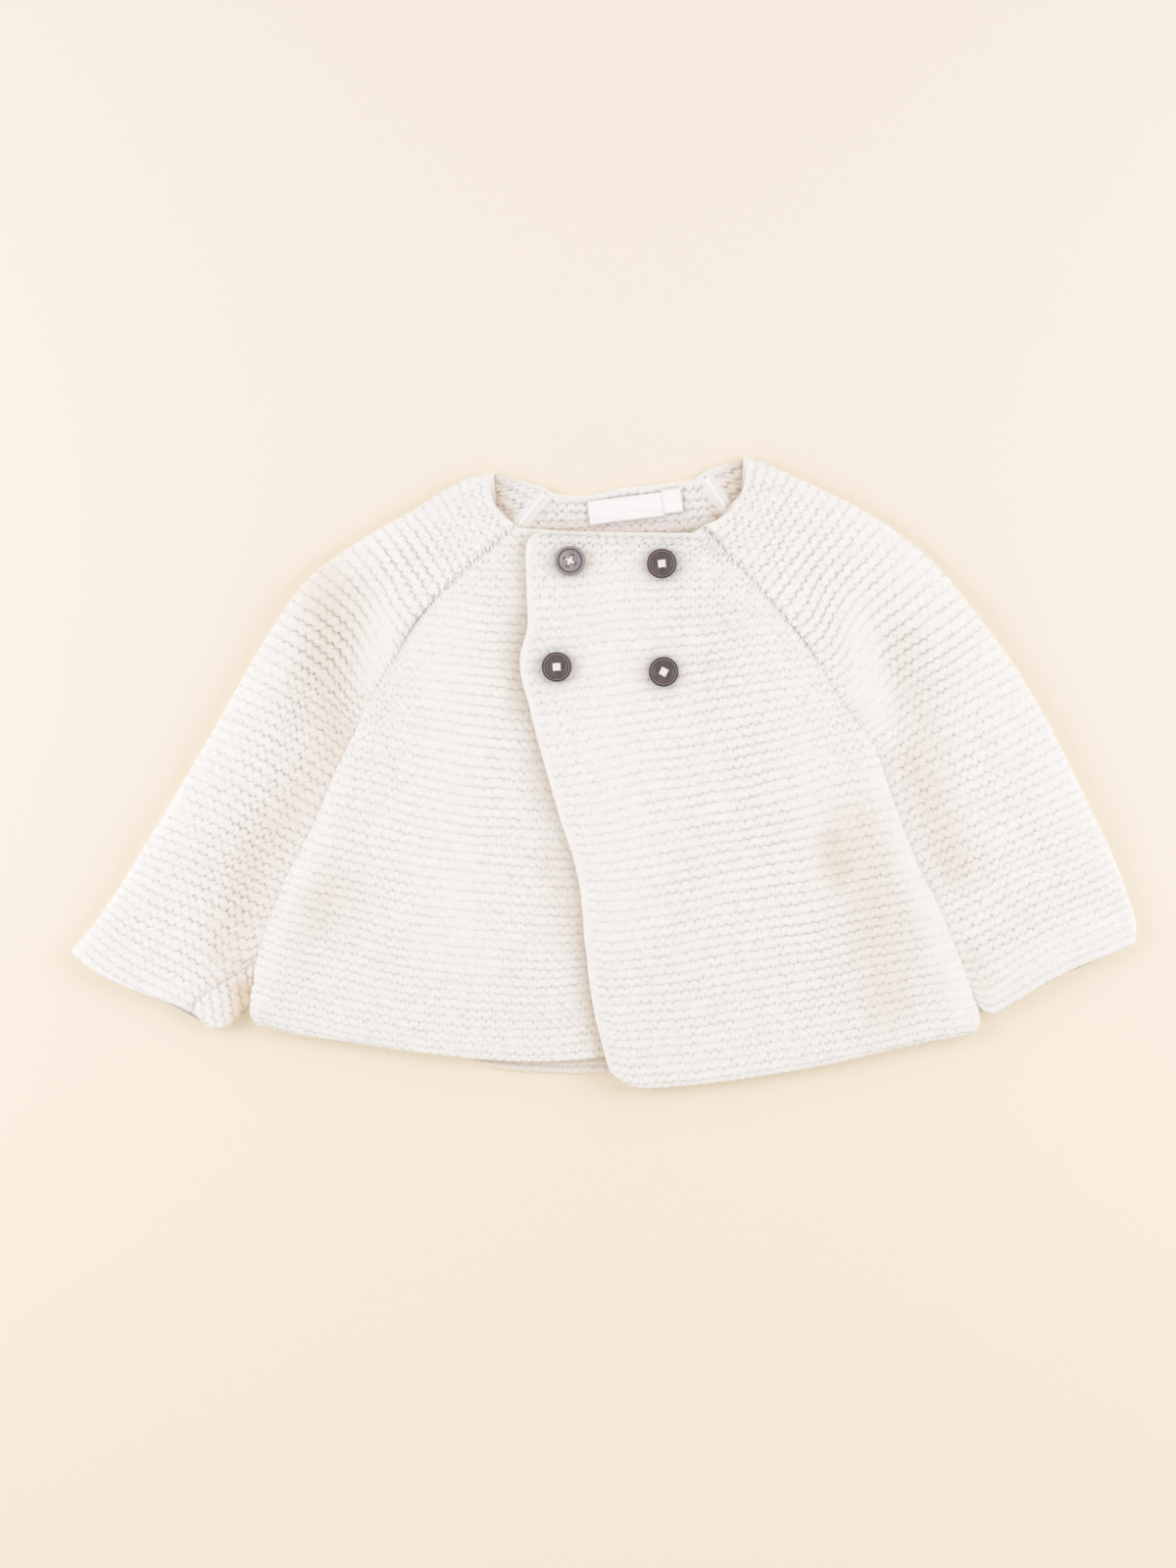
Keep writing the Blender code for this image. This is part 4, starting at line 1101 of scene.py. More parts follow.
def yarn_row(panel, knit, row, sign, stride):
    """A row of points on one face of a panel: their stitch places, the points, where their yarn is laid, and marks.

    sign is 1 on the outer face and -1 on the inner one.
    """
    ridge = panel.ridges[row]
    from_top, from_foot = ridge - panel.ridges[0], panel.ridges[-1] - ridge
    start, end = panel.stitches[row, [0, -1]]
    radii = [(SEAM_ROUNDING if sewn else EDGE_ROUNDING) / panel.width for sewn in panel.sewn]
    places = stitch_places(start, end, *radii, lambda at: stride(ridge, at))
    along_row = np.full_like(places, ridge)
    away = [(places - start) * panel.width, (end - places) * panel.width]
    clear = smoothstep(*CLEAR_OF_SIDES, np.minimum(*away))
    shift = knit.drift * straying(SIDEWAYS, places, along_row) * clear
    point, out, down, pitch = panel.at(row, places + shift)

    # Where the yarn shows, and what the seams do to the cloth beside them.
    shown = np.where(stride(ridge, places) < PLAIN_STRIDE, 1.0, 0.0)
    sewn_in, band = np.zeros_like(places), np.zeros_like(places)
    for distance, sewn in zip(away, panel.sewn):
        if not sewn:
            shown = shown * smoothstep(*BEAD_EASING, distance)
        elif sign > 0:
            sewn_in += hump(distance, SEAM_SHADE) * panel.sewing[row]
        else:
            band += 1 - smoothstep(*SEAM_BAND_EASING, distance)
    shown = shown * (1 - band) * smoothstep(*END_PLAIN, from_top)

    # How the knitting lies at each point.
    kinds = (panel.kind, f"{panel.kind}_{panel.side}") if sign > 0 else ("inside",)
    # sheltered is the share of painted shade for the yarn's colour at each point; the seams' smooth bands get less.
    sheltered = greatest(SHELTERED, point[:, :2], *kinds) - SEAM_BAND_LIGHT * band
    lined = np.clip(summed(LINED, point[:, :2], *kinds), -1, 1)
    aslant = along_row + summed(SLANTS, point[:, :2], panel.kind)
    if sign > 0:
        opened = np.clip(OPENED[panel.kind] + summed(STRETCHES, point[:, :2], panel.kind), *OPENED_LIMITS)
    else:
        opened = np.full_like(places, NECK_OPENED if ridge < HEM_INSIDE else HEM_OPENED)

    # The half thickness of the cloth, with the yarn's relief in it.
    laid, sunk = panel.turned(point, places, aslant) if panel.turned else ((places, aslant), 0)
    half = WALL / 2 + (relief(knit, *laid, np.minimum(opened, OPENED_DEEPEST), lined) - sunk) * shown
    half = half - (SEAM_PULL[0] + SEAM_PULL[1] * np.cos(math.tau * ridge)) * sewn_in + SEAM_BAND_RISE * band
    if panel.kind == "sleeves":
        opened = opened * (1 - FOLD_FADE * hump(places, FOLD_FADE_REACH))
        half = half - FOLD_BITE * (0.5 + 0.5 * np.cos(math.tau * aslant)) * hump(places, FOLD_BITE_REACH)
    for distance, sewn in zip(away, panel.sewn):
        half = half * side_shape(distance, sewn, sign)
    for reach in (from_top, from_foot):
        half = half * edge_shape(reach * pitch, EDGE_ROUNDING, EDGE_LEAST)

    # How far down each point has strayed, and the scallops of the cast-on and cast-off edges.
    fall = knit.drift * straying(DOWNWARDS, places, along_row)
    fall *= smoothstep(*CLEAR_OF_ENDS, from_top) * smoothstep(*CLEAR_OF_ENDS, from_foot)
    for reach, way in ((from_top, -1), (from_foot, 1)):
        fall += way * knit.scallop * np.cos(math.tau * places) * (1 - smoothstep(*SCALLOP_REACH, reach)) * clear
    point = point + sign * out * half[:, None] + down * (fall * pitch)[:, None]
    return places, point, np.stack(laid, axis=1), np.stack([shown * opened, shown, sewn_in, sheltered, lined], axis=1)


def row_faces(last, current):
    """The triangles from one row of a shell to the next: both faces, and the edges that join them at the sides."""
    for sign in (1, -1):
        triangles = zip_rows(last[sign][0], current[sign][0], last[sign][1], current[sign][1])
        yield triangles if sign > 0 else triangles[:, ::-1]
    for at, way in ((0, 1), (-1, -1)):
        corners = [last[1][0][at], last[-1][0][at], current[-1][0][at], current[1][0][at]]
        yield np.array([corners[:3], [corners[0], corners[2], corners[3]]])[:, ::-way]


def knit_shell(name, panel, knit, strides, material):
    """A closed shell on a panel: its outer and inner face, rounded where they meet, with the yarn's relief where it
    shows. strides are the faces' own, as functions of a row's ridge number and its stitch places."""
    points, uvs, marks, faces = [], [], [], []
    count = 0
    last = {}
    for row in range(len(panel.ridges)):
        current = {}
        for sign, stride in zip((1, -1), strides):
            places, point, laid, marked = yarn_row(panel, knit, row, sign, stride)
            points.append(point)
            uvs.append(laid)
            marks.append(marked)
            current[sign] = (np.arange(count, count + len(places)), places)
            count += len(places)
        if last:
            faces.extend(row_faces(last, current))
        if row in (0, len(panel.ridges) - 1):
            triangles = zip_rows(current[1][0], current[-1][0], current[1][1], current[-1][1])
            faces.append(triangles[:, ::-1] if row == 0 else triangles)
        last = current
    faces = np.concatenate(faces)
    if panel.flip:
        faces = faces[:, ::-1]
    marks = dict(zip(KNIT_MARKS, np.concatenate(marks).T))
    return mesh_piece(name, np.concatenate(points) * MM, faces, material, np.concatenate(uvs), marks)


# ---------------------------------------------------------------- objects


def linked(name, data):
    """A new object with this data, in the scene."""
    made = bpy.data.objects.new(name, data)
    bpy.context.scene.collection.objects.link(made)
    return made


def mesh_object(name, mesh):
    """An object with the bmesh as its data."""
    data = bpy.data.meshes.new(name)
    mesh.to_mesh(data)
    mesh.free()
    return linked(name, data)


def coat(data, material):
    """Gives the whole mesh this material, and smooth shading."""
    data.materials.clear()
    data.materials.append(material)
    data.shade_smooth()


def add_mark(data, name, values):
    """Adds a number for each point of the mesh."""
    data.attributes.new(name, "FLOAT", "POINT").data.foreach_set("value", np.asarray(values, np.float32))


def mesh_piece(name, points, triangles, material, uvs, marks=()):
    """An object of triangles, with a UV and other numbers for each of its points."""
    data = bpy.data.meshes.new(name)
    data.vertices.add(len(points))
    data.vertices.foreach_set("co", np.asarray(points, np.float32).ravel())
    data.loops.add(triangles.size)
    data.loops.foreach_set("vertex_index", np.asarray(triangles, np.int32).ravel())
    data.polygons.add(len(triangles))
    data.polygons.foreach_set("loop_start", np.arange(0, triangles.size, 3, dtype=np.int32))
    layer = data.uv_layers.new(name="knit")
    layer.data.foreach_set("uv", np.asarray(uvs, np.float32)[triangles.ravel()].ravel())
    for mark in marks:
        add_mark(data, mark, marks[mark])
    data.update(calc_edges=True)
    data.validate()
    coat(data, material)
    return linked(name, data)


def finished(obj, name):
    """The object's evaluated form as a plain mesh piece, in place of the object."""
    depsgraph = bpy.context.evaluated_depsgraph_get()
    data = bpy.data.meshes.new_from_object(obj.evaluated_get(depsgraph))
    data.name = name
    data.transform(obj.matrix_world)
    bpy.data.objects.remove(obj)
    return linked(name, data)


def line_object(name, paths):
    """A curve along the paths, which are in mm."""
    curve = bpy.data.curves.new(name, "CURVE")
    curve.dimensions = "3D"
    for path in paths:
        spline = curve.splines.new("POLY")
        spline.points.add(len(path) - 1)
        spline.points.foreach_set("co", np.column_stack([path * MM, np.ones(len(path))]).ravel())
        spline.use_smooth = True
    return linked(name, curve)


def tubes(name, paths, radius, material):
    """Round cords along the paths, which are in mm, as one mesh piece."""
    drawn = line_object(name, paths)
    drawn.data.bevel_depth = radius * MM
    drawn.data.bevel_resolution = 1
    drawn.data.use_fill_caps = True
    made = finished(drawn, name)
    coat(made.data, material)
    return made


def ride(piece, nodes=()):
    """Every piece of the cardigan rides on the root body."""
    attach(piece, "root")
    if nodes:
        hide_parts(*nodes)


# ---------------------------------------------------------------- sewing and fluff


def nodes_tree(name, inputs):
    """A Geometry Nodes tree with these inputs besides its geometry, its graph, and the values that it is given."""
    tree = bpy.data.node_groups.new(name, "GeometryNodeTree")
    for way in ("INPUT", "OUTPUT"):
        tree.interface.new_socket("Geometry", in_out=way, socket_type="NodeSocketGeometry")
    for label, kind in inputs.items():
        tree.interface.new_socket(label, in_out="INPUT", socket_type=f"NodeSocket{kind}")
    graph = Graph(tree)
    source = graph.node("NodeGroupInput")
    return tree, graph, {label: graph.of(source, label) for label in ("Geometry", *inputs)}


def end_tree(graph, given, instances):
    """Makes the instances real, gives them their material and ends the tree."""
    real = graph.add("GeometryNodeRealizeInstances", None, {"Geometry": instances})
    done = graph.add("GeometryNodeSetMaterial", None, {"Geometry": real, "Material": given["Material"]})
    graph.node("NodeGroupOutput", None, {"Geometry": done})


def random_number(graph, given, low, high):
    """A random number from low to high for each point."""
    sockets = {2: low, 3: high, "Seed": given["Seed"]}
    return graph.add("FunctionNodeRandomValue", {"data_type": "FLOAT"}, sockets, output=1)


def turned_by(graph, rotation, **angles):
    """A rotation turned further by angles about its own X, Y and Z."""
    turn = graph.add("FunctionNodeEulerToRotation", None, {"Euler": graph.vector(**angles)})
    sockets = {"Rotation": rotation, "Rotate By": turn}
    return graph.add("FunctionNodeRotateRotation", {"rotation_space": "LOCAL"}, sockets)


def sewing_tree():
    """Stitches along a curve, each a short round strand that lies aslant over the seam."""
    tree, graph, given = nodes_tree("sewing", {
        "Spacing": "Float", "Length": "Float", "Thickness": "Float", "Slant": "Float", "Seed": "Int",
        "Material": "Material",
    })
    places = graph.add(
        "GeometryNodeResampleCurve", {"mode": "LENGTH"}, {"Curve": given["Geometry"], "Length": given["Spacing"]}
    )
    ball = graph.add("GeometryNodeMeshUVSphere", None, {"Segments": 8, "Rings": 5, "Radius": 0.5})
    sizes = graph.vector(X=given["Length"], Y=given["Thickness"], Z=given["Thickness"])
    strand = graph.add("GeometryNodeTransform", None, {"Geometry": ball, "Scale": sizes})
    strand = graph.add("GeometryNodeSetShadeSmooth", None, {"Geometry": strand})
    along_it = graph.add("GeometryNodeInputTangent")
    level = graph.add("FunctionNodeAlignRotationToVector", {"axis": "X"}, {"Vector": along_it})
    slant = given["Slant"] + random_number(graph, given, -SEWING_STRAY, SEWING_STRAY)
    sockets = {"Points": places, "Instance": strand, "Rotation": turned_by(graph, level, Z=slant)}
    end_tree(graph, given, graph.add("GeometryNodeInstanceOnPoints", None, sockets))
    return tree


def fluff_tree():
    """Fine bent fibres on a surface, thickest where it turns away at its edges, and none below a height."""
    tree, graph, given = nodes_tree("fluff", {
        "Density": "Float", "Length": "Float", "Thickness": "Float", "Lowest": "Float", "Seed": "Int",
        "Material": "Material",
    })
    _, _, facing = graph.parts(graph.add("GeometryNodeInputNormal"))
    _, _, height = graph.parts(graph.add("GeometryNodeInputPosition"))
    turned_away = (1.0 - facing.absolute()).kept()
    roots = graph.node("GeometryNodeDistributePointsOnFaces", {"distribute_method": "RANDOM"}, {
        "Mesh": given["Geometry"], "Selection": height.above(given["Lowest"]) * facing.above(FLUFF_FACING),
        "Density": given["Density"] * (turned_away**2.0 + FLUFF_ON_FACE), "Seed": given["Seed"],
    })
    fibre = graph.add("GeometryNodeMeshCone", {"fill_type": "NGON"}, {
        "Vertices": 3, "Side Segments": 2, "Radius Top": 0.0, "Radius Bottom": given["Thickness"] * 0.5,
        "Depth": given["Length"],
    })
    _, _, up_it = graph.parts(graph.add("GeometryNodeInputPosition"))
    bend = graph.vector(X=up_it * up_it / given["Length"] * FLUFF_BEND)
    fibre = graph.add("GeometryNodeSetPosition", None, {"Geometry": fibre, "Offset": bend})
    leaning = {
        "X": random_number(graph, given, -FLUFF_LEAN, FLUFF_LEAN), "Z": random_number(graph, given, 0.0, math.tau),
    }
    grown = graph.add("GeometryNodeInstanceOnPoints", None, {
        "Points": graph.of(roots, "Points"), "Instance": fibre,
        "Rotation": turned_by(graph, graph.of(roots, "Rotation"), **leaning),
        "Scale": random_number(graph, given, FLUFF_SHORTEST, 1.0),
    })
    end_tree(graph, given, grown)
    return tree


def made_by(tree, obj, name, values):
    """What a Geometry Nodes tree makes of the object, as a piece in the object's place."""
    modifier = obj.modifiers.new(tree.name, "NODES")
    modifier.node_group = tree
    for item in tree.interface.items_tree:
        if item.in_out == "INPUT" and item.name in values:
            modifier[item.identifier] = values[item.name]
    return finished(obj, name)


# ---------------------------------------------------------------- buttons and ribbons


def button_disc(trim):
    """A button's profile, turned round its middle, with each point's share of the way out."""
    radius = trim.button_diameter / 2
    mesh = bmesh.new()
    points = [mesh.verts.new((r * radius, 0, z * trim.button_thickness)) for r, z in BUTTON_PROFILE]
    for pair in zip(points, points[1:]):
        mesh.edges.new(pair)
    made = mesh_object("button_form", mesh)
    turned = made.modifiers.new("turned", "SCREW")
    turned.steps = turned.render_steps = BUTTON_STEPS
    turned.use_merge_vertices = True
    turned.merge_threshold = BUTTON_WELD * MM
    made = finished(made, "button_form")
    mesh = bmesh.new()
    mesh.from_mesh(made.data)
    bmesh.ops.remove_doubles(mesh, verts=mesh.verts, dist=BUTTON_WELD * MM)
    bmesh.ops.recalc_face_normals(mesh, faces=mesh.faces)
    mesh.to_mesh(made.data)
    mesh.free()
    add_mark(made.data, "reach", [point.co.xy.length / radius for point in made.data.vertices])
    return made


def button_form(trim):
    """One button at the origin, face up, with four holes cut through it."""
    made = button_disc(trim)
    holes = bmesh.new()
    for x, y in HOLE_PLACES:
        rod = bmesh.ops.create_cone(
            holes, cap_ends=True, segments=HOLE_STEPS, radius1=HOLE_RADIUS * MM, radius2=HOLE_RADIUS * MM,
            depth=HOLE_DEPTH * MM,
        )
        bmesh.ops.translate(holes, verts=rod["verts"], vec=(x * MM, y * MM, 0))
    cutter = mesh_object("holes", holes)
    bored = made.modifiers.new("bored", "BOOLEAN")
    bored.operation = "DIFFERENCE"
    bored.solver = "EXACT"
    bored.object = cutter
    softened = made.modifiers.new("softened", "BEVEL")
    softened.width = BUTTON_BEVEL * MM
    softened.segments = 2
    softened.limit_method = "ANGLE"
    softened.angle_limit = math.radians(BEVEL_ANGLE)
    made = finished(made, "button_form")
    bpy.data.objects.remove(cutter)
    return made


def thread_strands(crossed, top):
    """The paths of a button's threads, at the origin: across its face from hole to hole, and down through them."""
    a, b, c, d = (THREAD_REACH * np.array([x, y, 0.0]) for x, y in HOLE_PLACES)
    # start, end, how far each strand lies to the left of the straight way, and how high it is heaped
    bundles = [(a, c, (-0.4, 0.0, 0.4), 0.35), (b, d, (-0.4, 0.0, 0.45), 0.5)]
    if not crossed:
        bundles = [(a, d, (0.0, -0.45, -0.9, -1.35), 0.35), (b, c, (0.0, 0.45, 0.9, 1.35), 0.35)]
        bundles += [(a, b, (0.05, 0.5), 0.55), (d, c, (-0.05, -0.5), 0.55)]
    strands = []
    share = np.linspace(0, 1, THREAD_POINTS)[:, None]
    bulge = np.sin(math.pi * share) ** THREAD_BULGE_POWER
    waver, along_it, apart = THREAD_WAVE
    down = np.array([0, 0, -THREAD_DROP])
    for start, end, offsets, heap in bundles:
        run = unit(end - start)
        beside = np.array([-run[1], run[0], 0])
        for number, offset in enumerate(offsets):
            path = start + (end - start) * share + beside * offset * bulge
            path += waver * np.sin(along_it * share + apart * number + offset) * beside
            path[:, 2] = top + heap * bulge[:, 0] - THREAD_SINK
            strands.append(np.vstack([path[0] + down, path[0] + down / 3, path, path[-1] + down / 3, path[-1] + down]))
    return strands


def ribbon(name, node, length, lift, material, trim):
    """A ribbon that lies along the back's inside at its node's place, slightly waved, and curling at its edges."""
    low, high = (np.array(corner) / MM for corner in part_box(node))
    middle = (low + high) / 2
    width = trim.ribbon_width / MM
    along_steps = max(RIBBON_LEAST_STEPS, round(length))
    u = np.linspace(-0.5, 0.5, along_steps + 1)
    v = np.linspace(-0.5, 0.5, RIBBON_STEPS + 1)
    grid_u, grid_v = np.meshgrid(u * length, v * width, indexing="ij")
    turn = math.radians(RIBBON_TURN)
    x = middle[0] + grid_u * math.cos(turn) - grid_v * math.sin(turn)
    y = middle[1] + grid_u * math.sin(turn) + grid_v * math.cos(turn) + RIBBON_SHIFT
    least, more, along_it, start = LIFT_WAVE
    lifted = lift * (2 * np.abs(grid_v) / width) ** LIFT_POWER * (least + more * np.sin(grid_u * along_it + start))
    z = WALL + RIBBON_LIE + lifted
    for height, along_it, across, start in RIBBON_WAVES:
        z += height * np.sin(grid_u * along_it + grid_v * across + start)
    z += END_CURL * (2 * np.abs(grid_u) / length) ** END_CURL_POWER
    points = np.stack([x, y, z], axis=-1).reshape(-1, 3) * MM
    row = RIBBON_STEPS + 1
    first = np.array([i * row + j for i in range(along_steps) for j in range(RIBBON_STEPS)])
    quads = np.stack([first, first + row, first + row + 1, first + 1], axis=1)
    triangles = np.concatenate([quads[:, [0, 1, 2]], quads[:, [0, 2, 3]]])
    made = mesh_piece(name, points, triangles, material, np.stack([grid_u.ravel(), grid_v.ravel()], axis=1))
    wall = made.modifiers.new("wall", "SOLIDIFY")
    wall.thickness = RIBBON_WALL * MM
    wall.offset = 0
    return finished(made, name)


# ---------------------------------------------------------------- settings


class KnitSettings(bpy.types.PropertyGroup):
    """The yarn and its stitches."""

    stitch_width: bpy.props.FloatProperty(
        name="Stitch width", description="Width of a stitch", default=4.03 * MM, unit="LENGTH", precision=5
    )
    ridge_depth: bpy.props.FloatProperty(
        name="Ridge depth", description="Depth of the valleys between ridges", default=0.3 * MM, unit="LENGTH",
        precision=5,
    )
    stitch_depth: bpy.props.FloatProperty(
        name="Stitch depth", description="Depth of the creases between loops", default=0.27 * MM, unit="LENGTH",
        precision=5,
    )
    drift: bpy.props.FloatProperty(
        name="Drift", description="How unevenly the stitches lie, in stitches", default=0.24
    )
    slant: bpy.props.FloatProperty(
        name="Slant", description="How far a loop leans over its ridge, in stitches", default=0.3
    )
    scallop: bpy.props.FloatProperty(
        name="Scallop", description="How far the loops swell the cast-off edges, as a share of a ridge", default=0.045
    )
    yarn_colour: bpy.props.FloatVectorProperty(
        name="Yarn", description="Colour of the yarn", default=(0.893, 0.85, 0.814), subtype="COLOR", size=3
    )
    shade_colour: bpy.props.FloatVectorProperty(
        name="Shade", description="Colour deep between the stitches", default=(0.50, 0.45, 0.42),
        subtype="COLOR", size=3,
    )
    # Painted shade: the tint multiplied into the yarn's colour in its nooks and where the cloth shelters itself.
    nook_colour: bpy.props.FloatVectorProperty(
        name="Nook", description="Tint where the cloth shelters itself, as in folds", default=(0.85, 0.71, 0.57),
        subtype="COLOR", size=3,
    )
    # Painted glow: emission of this colour deep between the pieces, standing in for light that comes through the wool.
    painted_glow_colour: bpy.props.FloatVectorProperty(
        name="Glow", description="Light that comes through the wool deep between the pieces",
        default=(0.07, 0.062, 0.052), subtype="COLOR", size=3,
    )


class SewingSettings(bpy.types.PropertyGroup):
    """The raglans' stitches and the fluff on the yarn."""

    spacing: bpy.props.FloatProperty(
        name="Stitch spacing", description="From one sewing stitch to the next", default=4.4 * MM, unit="LENGTH",
        precision=5,
    )
    stitch_length: bpy.props.FloatProperty(
        name="Stitch length", description="Length of a sewing stitch", default=3.2 * MM, unit="LENGTH", precision=5
    )
    thickness: bpy.props.FloatProperty(
        name="Yarn thickness", description="Thickness of the sewing yarn", default=0.85 * MM, unit="LENGTH",
        precision=5,
    )
    slant: bpy.props.FloatProperty(
        name="Slant", description="Angle of a sewing stitch to its seam", default=0.6, unit="ROTATION"
    )
    fluff_density: bpy.props.FloatProperty(
        name="Fluff density", description="Fibres to a square metre of edge", default=2.1e6
    )
    fluff_length: bpy.props.FloatProperty(
        name="Fluff length", description="Length of the longest fibres", default=2.1 * MM, unit="LENGTH", precision=5
    )
    fluff_thickness: bpy.props.FloatProperty(
        name="Fluff thickness", description="Thickness of a fibre at its root", default=0.15 * MM, unit="LENGTH",
        precision=5,
    )


class TrimSettings(bpy.types.PropertyGroup):
    """The buttons and the ribbons."""

    button_diameter: bpy.props.FloatProperty(
        name="Button diameter", description="Diameter of a button", default=12.7 * MM, unit="LENGTH", precision=5
    )
    button_thickness: bpy.props.FloatProperty(
        name="Button thickness", description="Height of a button's rim", default=2.8 * MM, unit="LENGTH", precision=5
    )
    button_colour: bpy.props.FloatVectorProperty(
        name="Button", description="Colour of the buttons", default=(0.105, 0.078, 0.074), subtype="COLOR", size=3
    )
    # Painted reflection: the paler colour of the one button stands in for the glare that it reflects.
    glare_button_colour: bpy.props.FloatVectorProperty(
        name="Pale button", description="Colour of the one paler button", default=(0.30, 0.255, 0.255),
        subtype="COLOR", size=3,
    )
    ribbon_width: bpy.props.FloatProperty(
        name="Ribbon width", description="Width of the label and the size tab", default=10.6 * MM, unit="LENGTH",
        precision=5,
    )
    ribbon_colour: bpy.props.FloatVectorProperty(
        name="Ribbon", description="Colour of the ribbons", default=(0.93, 0.893, 0.868), subtype="COLOR", size=3
    )


class StageSettings(bpy.types.PropertyGroup):
    """The floor, lights and camera."""

    floor_colour: bpy.props.FloatVectorProperty(
        name="Floor", description="Colour of the floor", default=(0.85, 0.758, 0.66), subtype="COLOR", size=3
    )
    # Painted light: the floor is made paler with this colour close to the cloth, where its shade falls.
    floor_nook_light: bpy.props.FloatVectorProperty(
        name="Sheltered floor", description="Colour of the floor close to the cloth", default=(0.95, 0.872, 0.712),
        subtype="COLOR", size=3,
    )
    # Painted glow: emission under the cloth's edge, standing in for light that the cloth lets through.
    painted_floor_glow: bpy.props.FloatVectorProperty(
        name="Floor glow", description="Light that the cloth lets through to the floor under its edge",
        default=(0.12, 0.13, 0.125), subtype="COLOR", size=3,
    )
    # Painted fall-off of the light: the floor is yellower towards the hem's side.
    near_floor_colour: bpy.props.FloatVectorProperty(
        name="Near floor", description="Colour of the floor on the hem's side, into which the other fades",
        default=(0.862, 0.764, 0.648), subtype="COLOR", size=3,
    )
    frame_width: bpy.props.FloatProperty(
        name="Frame width", description="How much of the floor the picture's width shows", default=504 * MM,
        unit="LENGTH",
    )
    camera_height: bpy.props.FloatProperty(
        name="Camera height", description="Height of the camera over the cloth", default=1.4, unit="LENGTH"
    )
    sky: bpy.props.FloatProperty(
        name="Sky", description="Strength of the light from all round", default=0.974
    )
    low_sky: bpy.props.FloatProperty(
        name="Low sky", description="How much brighter than the mean the sky is just over the floor", default=1.35
    )
    sky_colour: bpy.props.FloatVectorProperty(
        name="Sky colour", description="Colour of the light from all round", default=(0.962, 0.936, 0.844),
        subtype="COLOR", size=3,
    )
    left_lamp: bpy.props.FloatProperty(
        name="Left lamp", description="Power of the soft lamp on the left", default=2.7, unit="POWER"
    )
    right_lamp: bpy.props.FloatProperty(
        name="Right lamp", description="Power of the soft lamp on the right", default=2.5, unit="POWER"
    )
    lamp_colour: bpy.props.FloatVectorProperty(
        name="Lamp colour", description="Colour of the lamps' light", default=(0.55, 0.67, 1.0),
        subtype="COLOR", size=3,
    )


# ---------------------------------------------------------------- operators


def all_of_it(ridge, at):
    """The stride of a face that shows everywhere, at the places of a row."""
    return np.ones(len(at), int)


def none_of_it(ridge, at):
    """The stride of a face that shows nowhere."""
    return np.full(len(at), PLAIN_STRIDE)


def under_back(ridge, at):
    """The stride of the back's underside."""
    return np.full(len(at), UNDER_STRIDE)


def inside_back(ridge, at):
    """The stride of the back's inside, which shows at the neck and at the hem."""
    return none_of_it(ridge, at) if NECK_INSIDE["body"] <= ridge <= HEM_INSIDE else all_of_it(ridge, at)


def outside_sleeve(ridge, at):
    """The stride of a sleeve's outside: finer on its front and round its fold than on its underside."""
    return np.where(at < SLEEVE_ROUND, 1, UNDER_STRIDE)


def inside_sleeve(ridge, at):
    """The stride of a sleeve's inside, whose back layer shows at the neck."""
    return np.where((ridge < NECK_INSIDE["sleeves"]) & (at > 0), 1, PLAIN_STRIDE)


def knit_piece(context, kind, node, side, gauge, grid, counted_from, strides, sewn=(True, True), turned=None):
    """Knits a panel in place of its node. grid makes the middle of its cloth from the shares of its rows."""
    knit = context.scene.cardigan_knit
    ridges = ridge_numbers(RIDGES[kind])
    shares = graded(ridges / RIDGES[kind], gauge)
    panel = Panel(kind, side, grid(shares), shares, ridges, counted_from, knit, sewn, turned)
    piece = knit_shell(f"knit_{node}", panel, knit, strides, yarn(knit, "knit_cream", knit_material))
    ride(piece, [node])
    return piece


class CARDIGAN_OT_back(bpy.types.Operator):
    """Knit the back"""

    bl_idname = "cardigan.back"
    bl_label = "Knit the back"

    def execute(self, context):
        middle_column = EDGE_ROLL_STEPS + BACK_COLUMNS // 2
        strides = (under_back, inside_back)
        piece = knit_piece(context, "body", "back", None, BODY_GAUGE["left"], back_grid, middle_column, strides)
        return {"FINISHED"}


class CARDIGAN_OT_sleeves(bpy.types.Operator):
    """Knit both sleeves"""

    bl_idname = "cardigan.sleeves"
    bl_label = "Knit the sleeves"

    def execute(self, context):
        fold_column = EDGE_ROLL_STEPS + SLEEVE_FRONT_COLUMNS + FOLD_ROLL_STEPS // 2
        strides = (outside_sleeve, inside_sleeve)
        for side, area in (("right", 0.0285), ("left", 0.0335)):
            piece = knit_piece(
                context, "sleeves", f"sleeve_{side}", side, SLEEVE_GAUGE[side],
                lambda shares, side=side: sleeve_grid(side, shares), fold_column, strides,
                turned=turned_corner(context.scene.cardigan_knit) if side == "right" else None,
            )
        return {"FINISHED"}


class CARDIGAN_OT_fronts(bpy.types.Operator):
    """Knit both fronts"""

    bl_idname = "cardigan.fronts"
    bl_label = "Knit the fronts"

    def execute(self, context):
        for side, area, below in (("right", 0.0305, "knit_back"), ("left", 0.032, "knit_front_right")):
            piece = knit_piece(
                context, "body", f"front_{side}", side, BODY_GAUGE[side],
                lambda shares, side=side: front_grid(side, shares), 0, (all_of_it, none_of_it), sewn=(False, True),
            )
        return {"FINISHED"}


